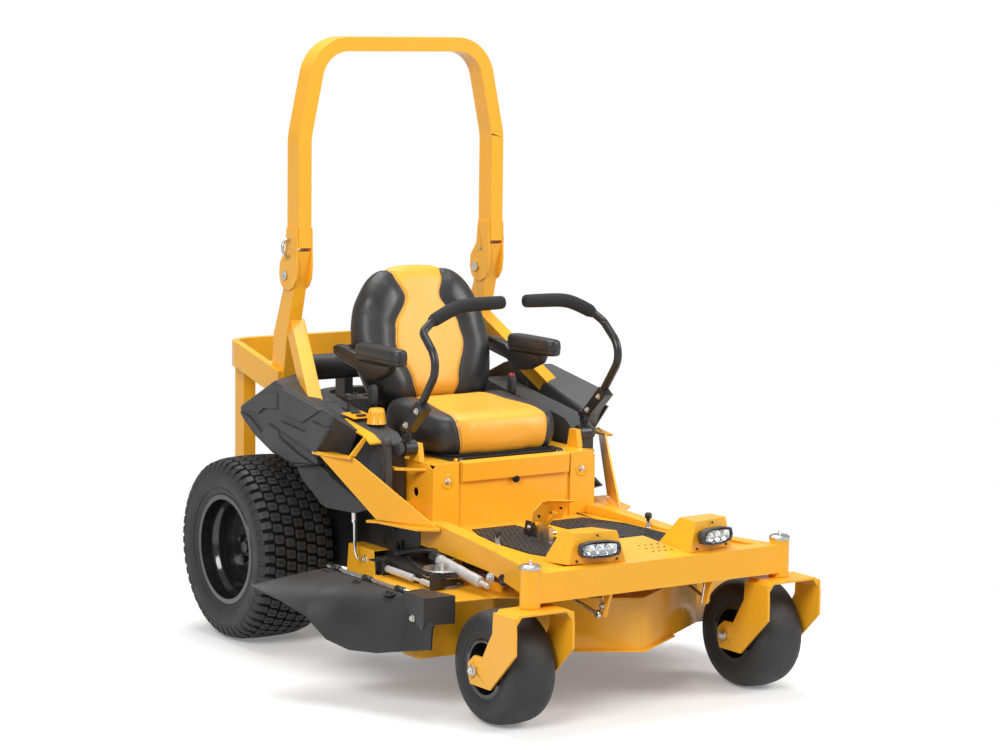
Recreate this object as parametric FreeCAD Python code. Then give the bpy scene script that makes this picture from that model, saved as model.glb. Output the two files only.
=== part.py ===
import FreeCAD, Part
import math
import os

# Zero-turn riding lawn mower. Millimetres, +Z up, the front looks towards -Y, +X is the mower's left.
# It is drawn about its own natural lines: X from the centre plane, Y from the rear axle, Z from the
# ground. When the pieces are written they are moved so that the origin is the middle of the footprint.

V = FreeCAD.Vector
X_AXIS, Y_AXIS, Z_AXIS = V(1, 0, 0), V(0, 1, 0), V(0, 0, 1)
RIGHT, LEFT = -1, 1                    # the mower's own right and left, as signs of X

# Clearances
RUNNING_FIT = 0.05                     # radial, a shaft in its bore
SIDE_GAP = 0.5                         # between the faces of pieces that turn past each other
SEAT_GAP = 0.3                         # between a soft piece and what carries it

# Rear wheels
REAR_TYRE_RADIUS = 292.0
REAR_TYRE_WIDTH = 267.0
REAR_TYRE_BEAD = 165.0
REAR_WHEEL_X = 491.0
RIM_LIP = 11.0
REAR_RIM_WALL = 6.0
REAR_DISC_OUT = 12.0                   # wheel disc, outward of the wheel's middle plane
REAR_HUB_RADIUS = 72.0
LUG_CIRCLE = 57.0
LUG_COUNT = 5
AXLE_RADIUS = 19.0

# Casters
CASTER_X = 446.0
CASTER_Y = -1472.0
CASTER_TRAIL = 120.0
CASTER_TYRE_RADIUS = 165.0
CASTER_TYRE_WIDTH = 162.0
CASTER_BEAD = 80.0
CASTER_RIM_LIP = 7.0
CASTER_TUBE_RADIUS = 29.5
CASTER_TUBE_TOP = 464.0
CASTER_TUBE_FOOT = 354.0
CASTER_STEM_RADIUS = 14.0
FORK_LEG_X = 93.0                      # inner face of a fork leg from the wheel's middle
FORK_PLATE = 8.0
CASTER_AXLE_RADIUS = 9.5

# Frame
BEAM_Y = CASTER_Y
BEAM_DEPTH = 50.0
BEAM_TOP = 452.0
BEAM_FOOT = 368.0
RAIL_WIDTH = 50.0
RAIL_OUT_REAR = 318.0
RAIL_OUT_MID = 345.0
RAIL_OUT_FRONT = 428.0
RAIL_KNEE_Y = -1110.0
RAIL_FLARE_Y = -700.0
RAIL_REAR_Y = 395.0
RAIL_TOP = 472.0
RAIL_FOOT = 392.0
TAIL_DEPTH = 55.0
HITCH_Y = 418.0
HITCH_RADIUS = 9.5
STRAP_FRONT_Y, STRAP_REAR_Y = 20.0, 94.0
STRAP_TOP = 652.0

# Foot platform
FLOOR_TOP = 442.0
SHEET = 4.0
MAT_THICK = 6.0
POD_TOP = 540.0
POD_FRONT_Y = BEAM_Y - 24
POD_LEAN = 22.0                        # how far the pod's face falls back over its height
LIGHT_X = 209.0
LIGHT_Z = 496.0
LIGHT_WIDTH = 112.0
LIGHT_HEIGHT = 48.0

# Seat tower
TOWER_Y = -735.0
TOWER_HALF = 297.0
TOWER_INNER = 196.0
TOWER_TOP = 640.0
TOWER_BACK = -470.0
PANEL_TOP = 582.0
SEAT_PIVOT_Y = -711.0
SEAT_PIVOT_Z = 643.0
SEAT_PIN_RADIUS = 4.5

# Roll bar
HOOP_X = 364.0
HOOP_WIDTH = 46.0
HOOP_DEPTH = 74.0
HOOP_Y = -44.0
HOOP_TOP = 1912.0
HOOP_BEND = HOOP_TOP - 315
HOOP_FOOT = 1247.0
HOOP_SHOULDER_X = 302.0
HOOP_PLATE = 6.0
HINGE_Y = -8.0
HINGE_Z = 1157.0
HINGE_PIN_RADIUS = 9.0
LOCK_Z = 1220.0
LOCK_Y = -34.0
LOCK_PIN_RADIUS = 5.0
POST_TOP = 1236.0
POST_KNEE_Z = 960.0
LEG_SIZE = 48.0
LEG_TOP = (351.0, 4.0, 1000.0)
LEG_FOOT = (503.0, -439.0, 656.0)

# Deck
DECK_TIP_Y = -1400.0
DECK_SLOPE = 0.60
DECK_CORNER_Y = -1175.0
DECK_SIDE_X = 612.0
DECK_REAR_Y = -732.0
DECK_TOP = 322.0
DECK_SKIRT = 165.0
DECK_WALL = 4.0
DECK_LIP = 16.0
SPINDLE_BOSS = 30.0
DECK_SEAM_X = 360.0
SPINDLE_X = 398.0
SPINDLE_Y = -955.0
CENTRE_SPINDLE_Y = -1146.0
BLADE_LENGTH = 413.0
BLADE_Z = 186.0
CHUTE_HINGE_X = -600.0
CHUTE_HINGE_Z = 346.0
CHUTE_REACH = 272.0
CHUTE_TIP_X = CHUTE_HINGE_X - CHUTE_REACH + 10
CHUTE_REAR_Y = -640.0
CHUTE_FRONT_Y = -1072.0
ROLLER_X = 330.0
ROLLER_Y = -664.0
ROLLER_Z = 178.0
ROLLER_RADIUS = 62.0
ROLLER_WIDTH = 60.0
ROLLER_AXLE = 8.0

# Deck lift
LIFT_Z = 412.0
LIFT_REAR_Y = -660.0
LIFT_FRONT_Y = -1300.0
LIFT_ARM = 140.0
LIFT_REST = 5.0                        # degrees that the arms stand above level with the deck raised
LIFT_ARM_X = 235.0
LIFT_SHAFT_RADIUS = 11.0

# Seat and controls
SEAT_HALF = 245.0
SEAT_FRONT_Y = -690.0
SEAT_FOOT = 652.3
SEAT_PLATE = 6.0
SEAT_TOP = 764.0
BACK_FOOT = 766.0
BACK_TOP = 1181.0
BACK_THICK = 108.0
BACK_SLOPE = 0.465                     # how far the back leans away, over its height
BACK_FOOT_Y = -337.0
ARMREST_X = 287.0
ARMREST_Z = 935.0
LEVER_X = 330.0
LEVER_PIVOT_Y = -640.0
LEVER_PIVOT_Z = 682.0
LEVER_TUBE_RADIUS = 12.5
GRIP_RADIUS = 18.5

# fenders over the drive tyres
FENDER_IN = 410.0
FENDER_OUT = 530.0
FENDER_FALL = 66.0
FENDER_LEAD = 13.0
FENDER_WALL = 7.0
FENDER_STEP = 3.0

# Where the middle of the footprint lies, in the mower's own lines
TYRE_OUT_X = REAR_WHEEL_X + REAR_TYRE_WIDTH / 2
MIDDLE_X = (CHUTE_HINGE_X - CHUTE_REACH + TYRE_OUT_X) / 2
FORK_FRONT = 76.0                      # a fork leg's front edge, ahead of the caster's pivot
FRONT_Y = CASTER_Y - FORK_FRONT
REAR_Y = RAIL_REAR_Y + TAIL_DEPTH
MIDDLE_Y = (FRONT_Y + REAR_Y) / 2

pieces = {}


def keep(name, *shapes):
    """Keep solids under a node's name, in the footprint's own lines."""
    solids = []
    for shape in shapes:
        moved = shape.copy()
        moved.translate(V(-MIDDLE_X, -MIDDLE_Y, 0))
        solids.extend(moved.Solids)
    pieces[name] = solids


def block(x0, x1, y0, y1, z0, z1):
    low = V(min(x0, x1), min(y0, y1), min(z0, z1))
    return Part.makeBox(abs(x1 - x0), abs(y1 - y0), abs(z1 - z0), low)


def rod(start, end, radius):
    start, end = V(*start), V(*end)
    return Part.makeCylinder(radius, (end - start).Length, start, end - start)


def ring(start, end, outer, inner):
    return rod(start, end, outer).cut(rod(start, end, inner))


def flat(points, along):
    """A polygon of 3-D points, pushed along a vector."""
    corners = [V(*p) for p in points]
    return Part.Face(Part.makePolygon(corners + corners[:1])).extrude(V(*along))


def side_plate(points, x, thick):
    """A polygon in Y and Z, pushed along X."""
    return flat([(x, y, z) for y, z in points], (thick, 0, 0))


def plan_plate(points, z, thick):
    """A polygon in X and Y, pushed along Z."""
    return flat([(x, y, z) for x, y in points], (0, 0, thick))


def joined(first, *others):
    for other in others:
        first = first.fuse(other)
    return first.removeSplitter()


def welded(*members):
    """Members that meet face to face: each is cut back from those before it."""
    fitted = []
    for member in members:
        for earlier in fitted:
            member = member.cut(earlier)
        fitted.extend(member.Solids)
    return fitted


def cut_from(shape, others):
    for other in others:
        shape = shape.cut(other)
    return shape


def route(points, radii):
    """Straight runs joined by tangent arcs; one radius for each inner point."""
    points = [V(*p) for p in points]
    edges = []
    start = points[0]
    for corner, after, radius in zip(points[1:-1], points[2:], radii):
        into = (corner - start).normalize()
        out = (after - corner).normalize()
        turn = into.getAngle(out)
        back = radius * math.tan(turn / 2)
        first, last = corner - into * back, corner + out * back
        middle = corner + (out - into).normalize() * (radius / math.cos(turn / 2) - radius)
        edges.append(Part.LineSegment(start, first).toShape())
        edges.append(Part.Arc(first, middle, last).toShape())
        start = last
    edges.append(Part.LineSegment(start, points[-1]).toShape())
    return Part.Wire(edges)


def swept(path, section):
    return Part.Wire(path).makePipeShell([section], True, False)


def round_section(centre, normal, radius):
    return Part.Wire(Part.makeCircle(radius, V(*centre), V(*normal)))


def turned(profile, centre, axis=X_AXIS):
    """A closed profile of (distance along the axis, radius), turned about the axis through centre."""
    corners = [V(*centre) + V(a, 0, r) if axis == X_AXIS else V(*centre) + V(r, 0, a)
               for a, r in profile]
    face = Part.Face(Part.makePolygon(corners + corners[:1]))
    return face.revolve(V(*centre), axis, 360)


def softened(shape, radius, choose=lambda edge: True):
    edges = [edge for edge in shape.Edges if choose(edge)]
    return shape.makeFillet(radius, edges)


def along(edge, axis):
    """Whether an edge is straight and lies along an axis."""
    if len(edge.Vertexes) != 2 or not isinstance(edge.Curve, Part.Line):
        return False
    run = edge.Vertexes[1].Point - edge.Vertexes[0].Point
    return abs(abs(run.normalize().dot(axis)) - 1) < 1e-6


# ---------------------------------------------------------------- rear wheels
def tyre_profile(radius, width, bead, shoulder, crown):
    """Half section of a tyre as (offset, radius) points: bead, bulging wall, shoulder and crown."""
    half = width / 2
    bead_half = half * 0.80
    wall = radius - bead
    return [
        (-bead_half, bead), (-half * 0.96, bead + wall * 0.28), (-half, bead + wall * 0.5),
        (-half * 0.96, bead + wall * 0.72), (-half + shoulder, radius - crown),
            (-half * 0.5, radius - crown * 0.25),
        (0, radius),
        (half * 0.5, radius - crown * 0.25), (half - shoulder, radius - crown),
            (half * 0.96, bead + wall * 0.72),
        (half, bead + wall * 0.5), (half * 0.96, bead + wall * 0.28), (bead_half, bead),
        (bead_half - 12, bead), (half * 0.88, bead + wall * 0.5), (half * 0.6, radius - 24),
        (-half * 0.6, radius - 24), (-half * 0.88, bead + wall * 0.5), (-bead_half + 12, bead),
    ]


def lip(radius, width, bead, rise):
    """Offset from the wheel's middle at which a rim clears its tyre's wall, a rise above the bead."""
    half = width / 2
    return half * 0.80 + SEAT_GAP + rise * (half * 0.16) / ((radius - bead) * 0.28)


def rear_wheel(side):
    x = side * REAR_WHEEL_X
    tyre = turned(tyre_profile(REAR_TYRE_RADIUS, REAR_TYRE_WIDTH, REAR_TYRE_BEAD, 20, 10),
                  (x, 0, REAR_TYRE_RADIUS))
    low, high = [lip(REAR_TYRE_RADIUS, REAR_TYRE_WIDTH, REAR_TYRE_BEAD, rise) for rise in (0, RIM_LIP)]
    half = high + 4
    r = REAR_TYRE_BEAD
    out = REAR_DISC_OUT
    w = REAR_RIM_WALL
    # barrel with flanges and a drop centre, carried by a dished disc
    bead_half = REAR_TYRE_WIDTH / 2 * 0.80
    barrel = [
        (half, r + RIM_LIP - 2), (half - 2, r + RIM_LIP), (high, r + RIM_LIP), (low, r - SEAT_GAP),
        (bead_half - 30, r - SEAT_GAP),
        (50, r - 16), (-50, r - 16), (-bead_half + 30, r - SEAT_GAP), (-low, r - SEAT_GAP),
        (-high, r + RIM_LIP), (-half + 2, r + RIM_LIP), (-half, r + RIM_LIP - 2), (-half, r - w),
              (-bead_half + 28, r - w - 1),
        (-50 - w, r - 16 - w), (out - 9, r - 16 - w), (out - 9, 92), (out + 3, 82),
              (out + 3, AXLE_RADIUS + RUNNING_FIT),
        (out + 9, AXLE_RADIUS + RUNNING_FIT), (out + 9, 84), (out - 3, 94), (out - 3, r - 16 - w),
        (50 + w, r - 16 - w), (bead_half - 28, r - w - 1), (half, r - w),
    ]
    rim = turned([(side * a, b) for a, b in barrel], (x, 0, REAR_TYRE_RADIUS))
    face = x + side * (out + 9)
    back = x + side * (out + 3)
    inner_face = side * (RAIL_OUT_REAR + 14)
    centre = (0, REAR_TYRE_RADIUS)
    hub = joined(
        rod((back - side * 14, *centre), (back, *centre), REAR_HUB_RADIUS),
        rod((inner_face, *centre), (back - side * 14, *centre), 34),
        rod((back - side, *centre), (face + side * 26, *centre), AXLE_RADIUS),
    )
    nuts = []
    for n in range(LUG_COUNT):
        angle = 2 * math.pi * n / LUG_COUNT + math.pi / 2
        y, z = LUG_CIRCLE * math.cos(angle), REAR_TYRE_RADIUS + LUG_CIRCLE * math.sin(angle)
        nuts.append(rod((face, y, z), (face + side * 16, y, z), 10))
    cap = ring((face, *centre), (face + side * 12, *centre), 30, AXLE_RADIUS)
    return tyre, rim, hub, nuts + [cap]


for side, word in ((LEFT, "left"), (RIGHT, "right")):
    tyre, rim, hub, nuts = rear_wheel(side)
    keep("rear_tyre_" + word, tyre)
    keep("rear_rim_" + word, rim, hub, *nuts)


# ---------------------------------------------------------------- casters
def caster(side):
    x = side * CASTER_X
    pivot = CASTER_Y
    axle_y = pivot + CASTER_TRAIL
    axle_z = CASTER_TYRE_RADIUS
    tyre = turned(tyre_profile(CASTER_TYRE_RADIUS, CASTER_TYRE_WIDTH, CASTER_BEAD, 26, 16),
                  (x, axle_y, axle_z))
    low, high = [lip(CASTER_TYRE_RADIUS, CASTER_TYRE_WIDTH, CASTER_BEAD, rise)
                 for rise in (0, CASTER_RIM_LIP)]
    half, outer = CASTER_TYRE_WIDTH / 2 * 0.80, high + 3
    r = CASTER_BEAD
    rim = turned([
        (outer, r + CASTER_RIM_LIP), (high, r + CASTER_RIM_LIP), (low, r - SEAT_GAP),
                  (half - 24, r - SEAT_GAP),
        (30, r - 10), (-30, r - 10), (-half + 24, r - SEAT_GAP), (-low, r - SEAT_GAP),
                  (-high, r + CASTER_RIM_LIP),
        (-outer, r + CASTER_RIM_LIP), (-outer, r - 6), (-34, r - 17), (-6, r - 17), (-6, 24),
                  (-half - 16, 22),
        (-half - 16, CASTER_AXLE_RADIUS + RUNNING_FIT), (half + 16, CASTER_AXLE_RADIUS + RUNNING_FIT),
        (half + 16, 22), (6, 24), (6, r - 17), (34, r - 17), (outer, r - 6),
    ], (x, axle_y, axle_z))

    crown_top = CASTER_TUBE_FOOT - SIDE_GAP
    crown = crown_top - FORK_PLATE
    # a leg runs down from the crown and back to the axle, with the bevelled outline of bent plate
    leg = [
        (-72, crown), (-FORK_FRONT, 305), (-FORK_FRONT, 240), (46, 121), (CASTER_TRAIL + 26, 121),
           (CASTER_TRAIL + 37, 152),
        (CASTER_TRAIL + 37, 180), (CASTER_TRAIL + 6, 206), (CASTER_TRAIL - 36, 207), (62, 244), (36, 285),
           (32, crown),
    ]
    legs = []
    for way in (-1, 1):
        inner = x + way * FORK_LEG_X
        legs.append(side_plate([(pivot + y, z) for y, z in leg], inner, way * FORK_PLATE))
    out = FORK_LEG_X + FORK_PLATE
    top = flat([(x - out, pivot - 72, crown - 24), (x - out, pivot - 72, crown - 12),
                (x - out + 20, pivot - 72, crown_top),
                (x + out - 20, pivot - 72, crown_top), (x + out, pivot - 72, crown - 12),
                (x + out, pivot - 72, crown - 24), (x + out - FORK_PLATE, pivot - 72, crown - 24),
                (x + out - FORK_PLATE - 18, pivot - 72, crown),
                (x - out + FORK_PLATE + 18, pivot - 72, crown),
                (x - out + FORK_PLATE, pivot - 72, crown - 24)], (0, 104, 0))
    stem_top = CASTER_TUBE_TOP + 4
    stem = rod((x, pivot, crown), (x, pivot, stem_top), CASTER_STEM_RADIUS)
    fork = joined(legs[0].cut(top), top, legs[1].cut(top), stem)
    bolt_reach = out + 2
    hole = rod((x - bolt_reach, axle_y, axle_z), (x + bolt_reach, axle_y, axle_z), CASTER_AXLE_RADIUS)
    fork = fork.cut(hole)
    axle = joined(
        hole,
        rod((x - bolt_reach - 8, axle_y, axle_z), (x - out, axle_y, axle_z), 14),
        rod((x + out, axle_y, axle_z), (x + bolt_reach + 8, axle_y, axle_z), 14),
    )
    cap = turned([(0, 0), (5, 0), (5, 24), (0, 31), (-8, 31), (-8, CASTER_TUBE_RADIUS),
                  (-6, CASTER_TUBE_RADIUS), (-2, CASTER_STEM_RADIUS + 6), (-2, 0)],
                 (x, pivot, CASTER_TUBE_TOP + 8), Z_AXIS)
    return tyre, rim, fork, axle, cap


caster_caps = []
for side, word in ((LEFT, "left"), (RIGHT, "right")):
    tyre, rim, fork, axle, cap = caster(side)
    keep("caster_tyre_" + word, tyre)
    keep("caster_rim_" + word, rim)
    keep("caster_fork_" + word, fork, axle)
    caster_caps.append(cap)

# ---------------------------------------------------------------- frame
rail_plan = [
    (RAIL_OUT_REAR, RAIL_REAR_Y), (RAIL_OUT_REAR, RAIL_FLARE_Y), (RAIL_OUT_MID, RAIL_KNEE_Y),
    (RAIL_OUT_FRONT, CASTER_Y + 22), (RAIL_OUT_FRONT - RAIL_WIDTH, CASTER_Y + 22),
    (RAIL_OUT_MID - RAIL_WIDTH, RAIL_KNEE_Y - 12), (RAIL_OUT_REAR - RAIL_WIDTH, RAIL_FLARE_Y),
    (RAIL_OUT_REAR - RAIL_WIDTH, RAIL_REAR_Y),
]
rail_side = [
    (RAIL_REAR_Y, RAIL_FOOT), (RAIL_REAR_Y, RAIL_TOP), (-815, RAIL_TOP), (RAIL_KNEE_Y, BEAM_TOP),
    (CASTER_Y, BEAM_TOP), (CASTER_Y, BEAM_FOOT), (RAIL_KNEE_Y, RAIL_FOOT - 8), (-815, RAIL_FOOT),
]
beam = block(-CASTER_X, CASTER_X, BEAM_Y - BEAM_DEPTH / 2, BEAM_Y + BEAM_DEPTH / 2, BEAM_FOOT, BEAM_TOP)
rails, ears = [], []
for side in (LEFT, RIGHT):
    plan = plan_plate([(side * x, y) for x, y in rail_plan], BEAM_FOOT - 20, RAIL_TOP - BEAM_FOOT + 40)
    rails.append(plan.common(side_plate(rail_side, -700, 1400)))
    pivot = (side * CASTER_X, CASTER_Y)
    tube = rod((*pivot, CASTER_TUBE_FOOT), (*pivot, CASTER_TUBE_TOP), CASTER_TUBE_RADIUS)
    bore = rod((*pivot, CASTER_TUBE_FOOT - 1), (*pivot, CASTER_TUBE_TOP + 1),
               CASTER_STEM_RADIUS + RUNNING_FIT)
    # an ear under the beam, which hangs the front of the deck
    ear = side_plate([(BEAM_Y - 24, BEAM_FOOT), (BEAM_Y + 10, BEAM_FOOT), (BEAM_Y + 20, 300),
                      (BEAM_Y + 2, 296),
                      (BEAM_Y - 12, 340)], side * 178, side * 8)
    ears.append(ear)
    beam = beam.fuse(tube).cut(bore)
beam = beam.removeSplitter()
cross_half = RAIL_OUT_REAR - RAIL_WIDTH
tail = block(-cross_half, cross_half, RAIL_REAR_Y - 50, RAIL_REAR_Y, RAIL_FOOT, RAIL_TOP)
hitch = block(-45, 45, RAIL_REAR_Y, RAIL_REAR_Y + TAIL_DEPTH - 5, RAIL_FOOT, RAIL_FOOT + 10)
hitch = hitch.cut(rod((0, HITCH_Y, RAIL_FOOT - 1), (0, HITCH_Y, RAIL_FOOT + 11), HITCH_RADIUS))
middle = block(-cross_half, cross_half, -490, -440, RAIL_FOOT, RAIL_TOP)
ahead = block(-cross_half, cross_half, LIFT_REAR_Y + 26, LIFT_REAR_Y + 72, RAIL_FOOT, FLOOR_TOP - SHEET)
uprights = []
for side in (LEFT, RIGHT):
    inner, outer = side * (RAIL_OUT_REAR - 40), side * RAIL_OUT_REAR
    # an upright that carries the roll bar's strap inboard of the tyre, and the tail post
    upright = block(inner, outer, STRAP_FRONT_Y, STRAP_REAR_Y, RAIL_TOP, STRAP_TOP - 12)
    shelf = block(inner, side * (HOOP_X + HOOP_WIDTH / 2), STRAP_FRONT_Y, STRAP_REAR_Y, STRAP_TOP - 12,
                  STRAP_TOP)
    post = block(side * (RAIL_OUT_REAR - 10), side * (RAIL_OUT_REAR + 34), RAIL_REAR_Y - 55,
                 RAIL_REAR_Y + 5, RAIL_FOOT, 820)
    uprights += [upright.fuse(shelf).removeSplitter(), post]
frame_members = welded(beam, *ears, *rails, tail, hitch, middle, ahead, *uprights)

# ---------------------------------------------------------------- foot platform, mats and lights
floor_plan = [(RAIL_OUT_REAR - RAIL_WIDTH, RAIL_FLARE_Y), (RAIL_OUT_MID - RAIL_WIDTH, RAIL_KNEE_Y - 12),
              (RAIL_OUT_FRONT - RAIL_WIDTH, CASTER_Y + 22)]
floor_edge = floor_plan + [(-x, y) for x, y in reversed(floor_plan)]
floor_edge = [(x, min(y, TOWER_Y)) for x, y in floor_edge]
platform = cut_from(plan_plate(floor_edge, FLOOR_TOP - SHEET, SHEET), frame_members)
pods = []
for side in (LEFT, RIGHT):
    # a folded pod behind each lamp, open underneath
    pod_x0, pod_x1 = side * 112, side * 300
    face, back = POD_FRONT_Y, POD_FRONT_Y + POD_LEAN
    pod = flat([(pod_x0, face, BEAM_TOP), (pod_x0 + side * 22, back, POD_TOP),
                (pod_x1 - side * 34, back, POD_TOP),
                (pod_x1, face, BEAM_TOP)], (0, 96, 0))
    inside = flat([(pod_x0 + side * SHEET, face + SHEET, BEAM_TOP),
                   (pod_x0 + side * 25, back + SHEET, POD_TOP - SHEET),
                   (pod_x1 - side * 37, back + SHEET, POD_TOP - SHEET),
                   (pod_x1 - side * SHEET, face + SHEET, BEAM_TOP)],
                  (0, 130, 0))
    pods.append(pod.cut(inside))
keep("foot_platform", *platform.Solids, *pods)

mats = []
for side in (LEFT, RIGHT):
    mat = plan_plate([(side * x, y) for x, y in (
        (48, -812), (205, -812), (262, -960), (272, -1215), (246, -1300), (120, -1300), (60, -1130))],
        FLOOR_TOP, MAT_THICK)
    mats.append(mat)


def pod_face(z):
    """Y of the front face of a lamp's pod at a height."""
    return POD_FRONT_Y + (z - BEAM_TOP) * POD_LEAN / (POD_TOP - BEAM_TOP)


lamps, lenses = [], []
for side in (LEFT, RIGHT):
    x = side * LIGHT_X
    w, h = LIGHT_WIDTH / 2 + 13, LIGHT_HEIGHT / 2
    front = POD_FRONT_Y - 18
    # the lamp's back lies on the pod's sloping face
    depth = side_plate([(front, LIGHT_Z - h), (front, LIGHT_Z + h), (pod_face(LIGHT_Z + h), LIGHT_Z + h),
                        (pod_face(LIGHT_Z - h), LIGHT_Z - h)], x - w, 2 * w)
    outline = [(x - w, LIGHT_Z - 8), (x - w + 12, LIGHT_Z - h), (x + w - 12, LIGHT_Z - h),
               (x + w, LIGHT_Z - 8),
               (x + w, LIGHT_Z + 8), (x + w - 12, LIGHT_Z + h), (x - w + 12, LIGHT_Z + h),
               (x - w, LIGHT_Z + 8)]
    body = flat([(a, front, b) for a, b in outline], (0, 60, 0)).common(depth)
    well = block(x - LIGHT_WIDTH / 2 + 4, x + LIGHT_WIDTH / 2 - 4, front - 1, front + 9, LIGHT_Z - h + 7,
                 LIGHT_Z + h - 7)
    lamps.append(body.cut(well))
    lens = block(x - LIGHT_WIDTH / 2 + 4.2, x + LIGHT_WIDTH / 2 - 4.2, front + 3, front + 9,
                 LIGHT_Z - h + 7.2, LIGHT_Z + h - 7.2)
    lenses.append(lens)
keep("headlights", *lamps, *lenses)

# ---------------------------------------------------------------- seat tower
tower_bolts, tower_fittings = [], []
tower = block(-TOWER_INNER, TOWER_INNER, TOWER_Y, TOWER_Y + SHEET, FLOOR_TOP, PANEL_TOP)
tower = tower.fuse(block(-TOWER_INNER, TOWER_INNER, TOWER_Y - 5, TOWER_Y + SHEET, PANEL_TOP, TOWER_TOP))
for side in (LEFT, RIGHT):
    inner, outer = side * TOWER_INNER, side * TOWER_HALF
    face = flat([(inner, TOWER_Y, FLOOR_TOP), (outer, TOWER_Y, FLOOR_TOP), (outer, TOWER_Y, TOWER_TOP - 18),
                 (outer - side * 14, TOWER_Y, TOWER_TOP), (inner, TOWER_Y, TOWER_TOP)], (0, SHEET, 0))
    wing = side_plate([(TOWER_Y, FLOOR_TOP), (TOWER_Y, TOWER_TOP - 18), (TOWER_Y + 30, TOWER_TOP),
                       (TOWER_BACK, TOWER_TOP),
                       (TOWER_BACK, RAIL_TOP), (-640, RAIL_TOP)], outer - side * SHEET, side * SHEET)
    wing = wing.cut(rod((outer - 9, -640, 545), (outer + 9, -640, 545), 14))
    shelf = block(inner, outer - side * SHEET, TOWER_Y + SHEET, TOWER_BACK, TOWER_TOP - SHEET, TOWER_TOP)
    dimple = rod((side * 249, TOWER_Y - 1, 587), (side * 249, TOWER_Y + 9, 587), 6)
    tower = tower.fuse(face).fuse(wing).fuse(shelf).cut(dimple)
    bolt = joined(rod((side * 249, TOWER_Y - 6, 587), (side * 249, TOWER_Y, 587), 10),
                  rod((side * 249, TOWER_Y, 587), (side * 249, TOWER_Y + 9, 587), 5.8))
    tower_bolts.append(bolt)
    # a bent flat handle that runs out from the tower's top corner
    handle = plan_plate([(side * x, y) for x, y in (
        (TOWER_HALF, -700), (372, -640), (372, -560), (TOWER_HALF, -545), (TOWER_HALF, -566), (355, -577),
                                                    (355, -630),
        (TOWER_HALF, -676))], 616, 8)
    tower = tower.fuse(handle)
    # a lug with the pin that the seat pan tips on
    lug_x = side * (TOWER_INNER + SIDE_GAP)
    lug = side_plate([(SEAT_PIVOT_Y - 8, TOWER_TOP - SHEET), (SEAT_PIVOT_Y - 8, SEAT_PIVOT_Z),
                      (SEAT_PIVOT_Y + 8, SEAT_PIVOT_Z), (SEAT_PIVOT_Y + 8, TOWER_TOP - SHEET)], lug_x,
                     side * 6)
    lug = lug.fuse(rod((lug_x, SEAT_PIVOT_Y, SEAT_PIVOT_Z), (lug_x + side * 6, SEAT_PIVOT_Y, SEAT_PIVOT_Z),
                       SEAT_PIVOT_Z - TOWER_TOP + SHEET))
    pin = rod((lug_x - side * 22, SEAT_PIVOT_Y, SEAT_PIVOT_Z), (lug_x, SEAT_PIVOT_Y, SEAT_PIVOT_Z),
              SEAT_PIN_RADIUS)
    tower_fittings.append(lug.fuse(pin))
tower = cut_from(tower, frame_members).removeSplitter()

# ---------------------------------------------------------------- roll bar
def lean(z):
    """How far the post's plates have moved back, this far down from their top."""
    return (POST_TOP - z) * 0.245


posts = []
for side in (LEFT, RIGHT):
    half = HOOP_WIDTH / 2
    x0, x1 = side * (HOOP_X - half), side * (HOOP_X + half)
    y_top0, y_top1 = HOOP_Y - HOOP_DEPTH / 2, HOOP_Y + HOOP_DEPTH / 2
    upper = side_plate([(y_top0 + 3, POST_TOP), (y_top1 - 9, POST_TOP), (y_top1 - 4, POST_TOP - 60),
                        (y_top1 + lean(POST_KNEE_Z) + 20, POST_KNEE_Z), (STRAP_REAR_Y, 800),
                        (STRAP_REAR_Y, STRAP_TOP),
                        (STRAP_FRONT_Y, STRAP_TOP), (STRAP_FRONT_Y, 800),
                        (y_top0 + lean(POST_KNEE_Z) + 8, POST_KNEE_Z), (y_top0 + lean(1100) + 3, 1100)],
                       x0, x1 - x0)
    # an open slot, round the hinge's axis, that the lock pin seats in and leaves by as the bar folds
    reach = math.hypot(LOCK_Y - HINGE_Y, LOCK_Z - HINGE_Z)
    slot_half = LOCK_PIN_RADIUS + 1
    start = math.degrees(math.atan2(LOCK_Z - HINGE_Z, LOCK_Y - HINGE_Y))
    ends = (HINGE_Y, HINGE_Z)
    notch = ring((x0 - side, *ends), (x1 + side, *ends), reach + slot_half, reach - slot_half)
    keep_side = flat([(0, 0, 0),
                      (0, 200 * math.cos(math.radians(start)), 200 * math.sin(math.radians(start))),
                      (0, 200, 200), (0, 200, 0)], (1400, 0, 0)).translated(V(-700, *ends))
    notch = notch.common(keep_side)
    notch = notch.fuse(rod((x0 - side, LOCK_Y, LOCK_Z), (x1 + side, LOCK_Y, LOCK_Z), slot_half))
    upper = upper.cut(notch)
    bore = rod((x0 - side, HINGE_Y, HINGE_Z), (x1 + side, HINGE_Y, HINGE_Z), HINGE_PIN_RADIUS)
    upper = upper.cut(bore)
    # the sloping leg, a square tube that runs forward, down and outward to its foot
    top, foot = V(side * LEG_TOP[0], *LEG_TOP[1:]), V(side * LEG_FOOT[0], *LEG_FOOT[1:])
    run = foot - top
    across = V(side, 0, 0)
    across = (across - run * (across.dot(run) / run.dot(run))).normalize()
    up = run.cross(across).normalize()
    h = LEG_SIZE / 2
    corners = [top + across * a * h + up * b * h for a, b in ((-1, -1), (1, -1), (1, 1), (-1, 1))]
    leg = flat([tuple(c) for c in corners], tuple(run))
    leg = leg.cut(block(-700, 700, -700, 200, 400, LEG_FOOT[2]))
    posts.append(cut_from(upper.fuse(leg), frame_members).removeSplitter())
keep("rops_posts", *posts)

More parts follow.
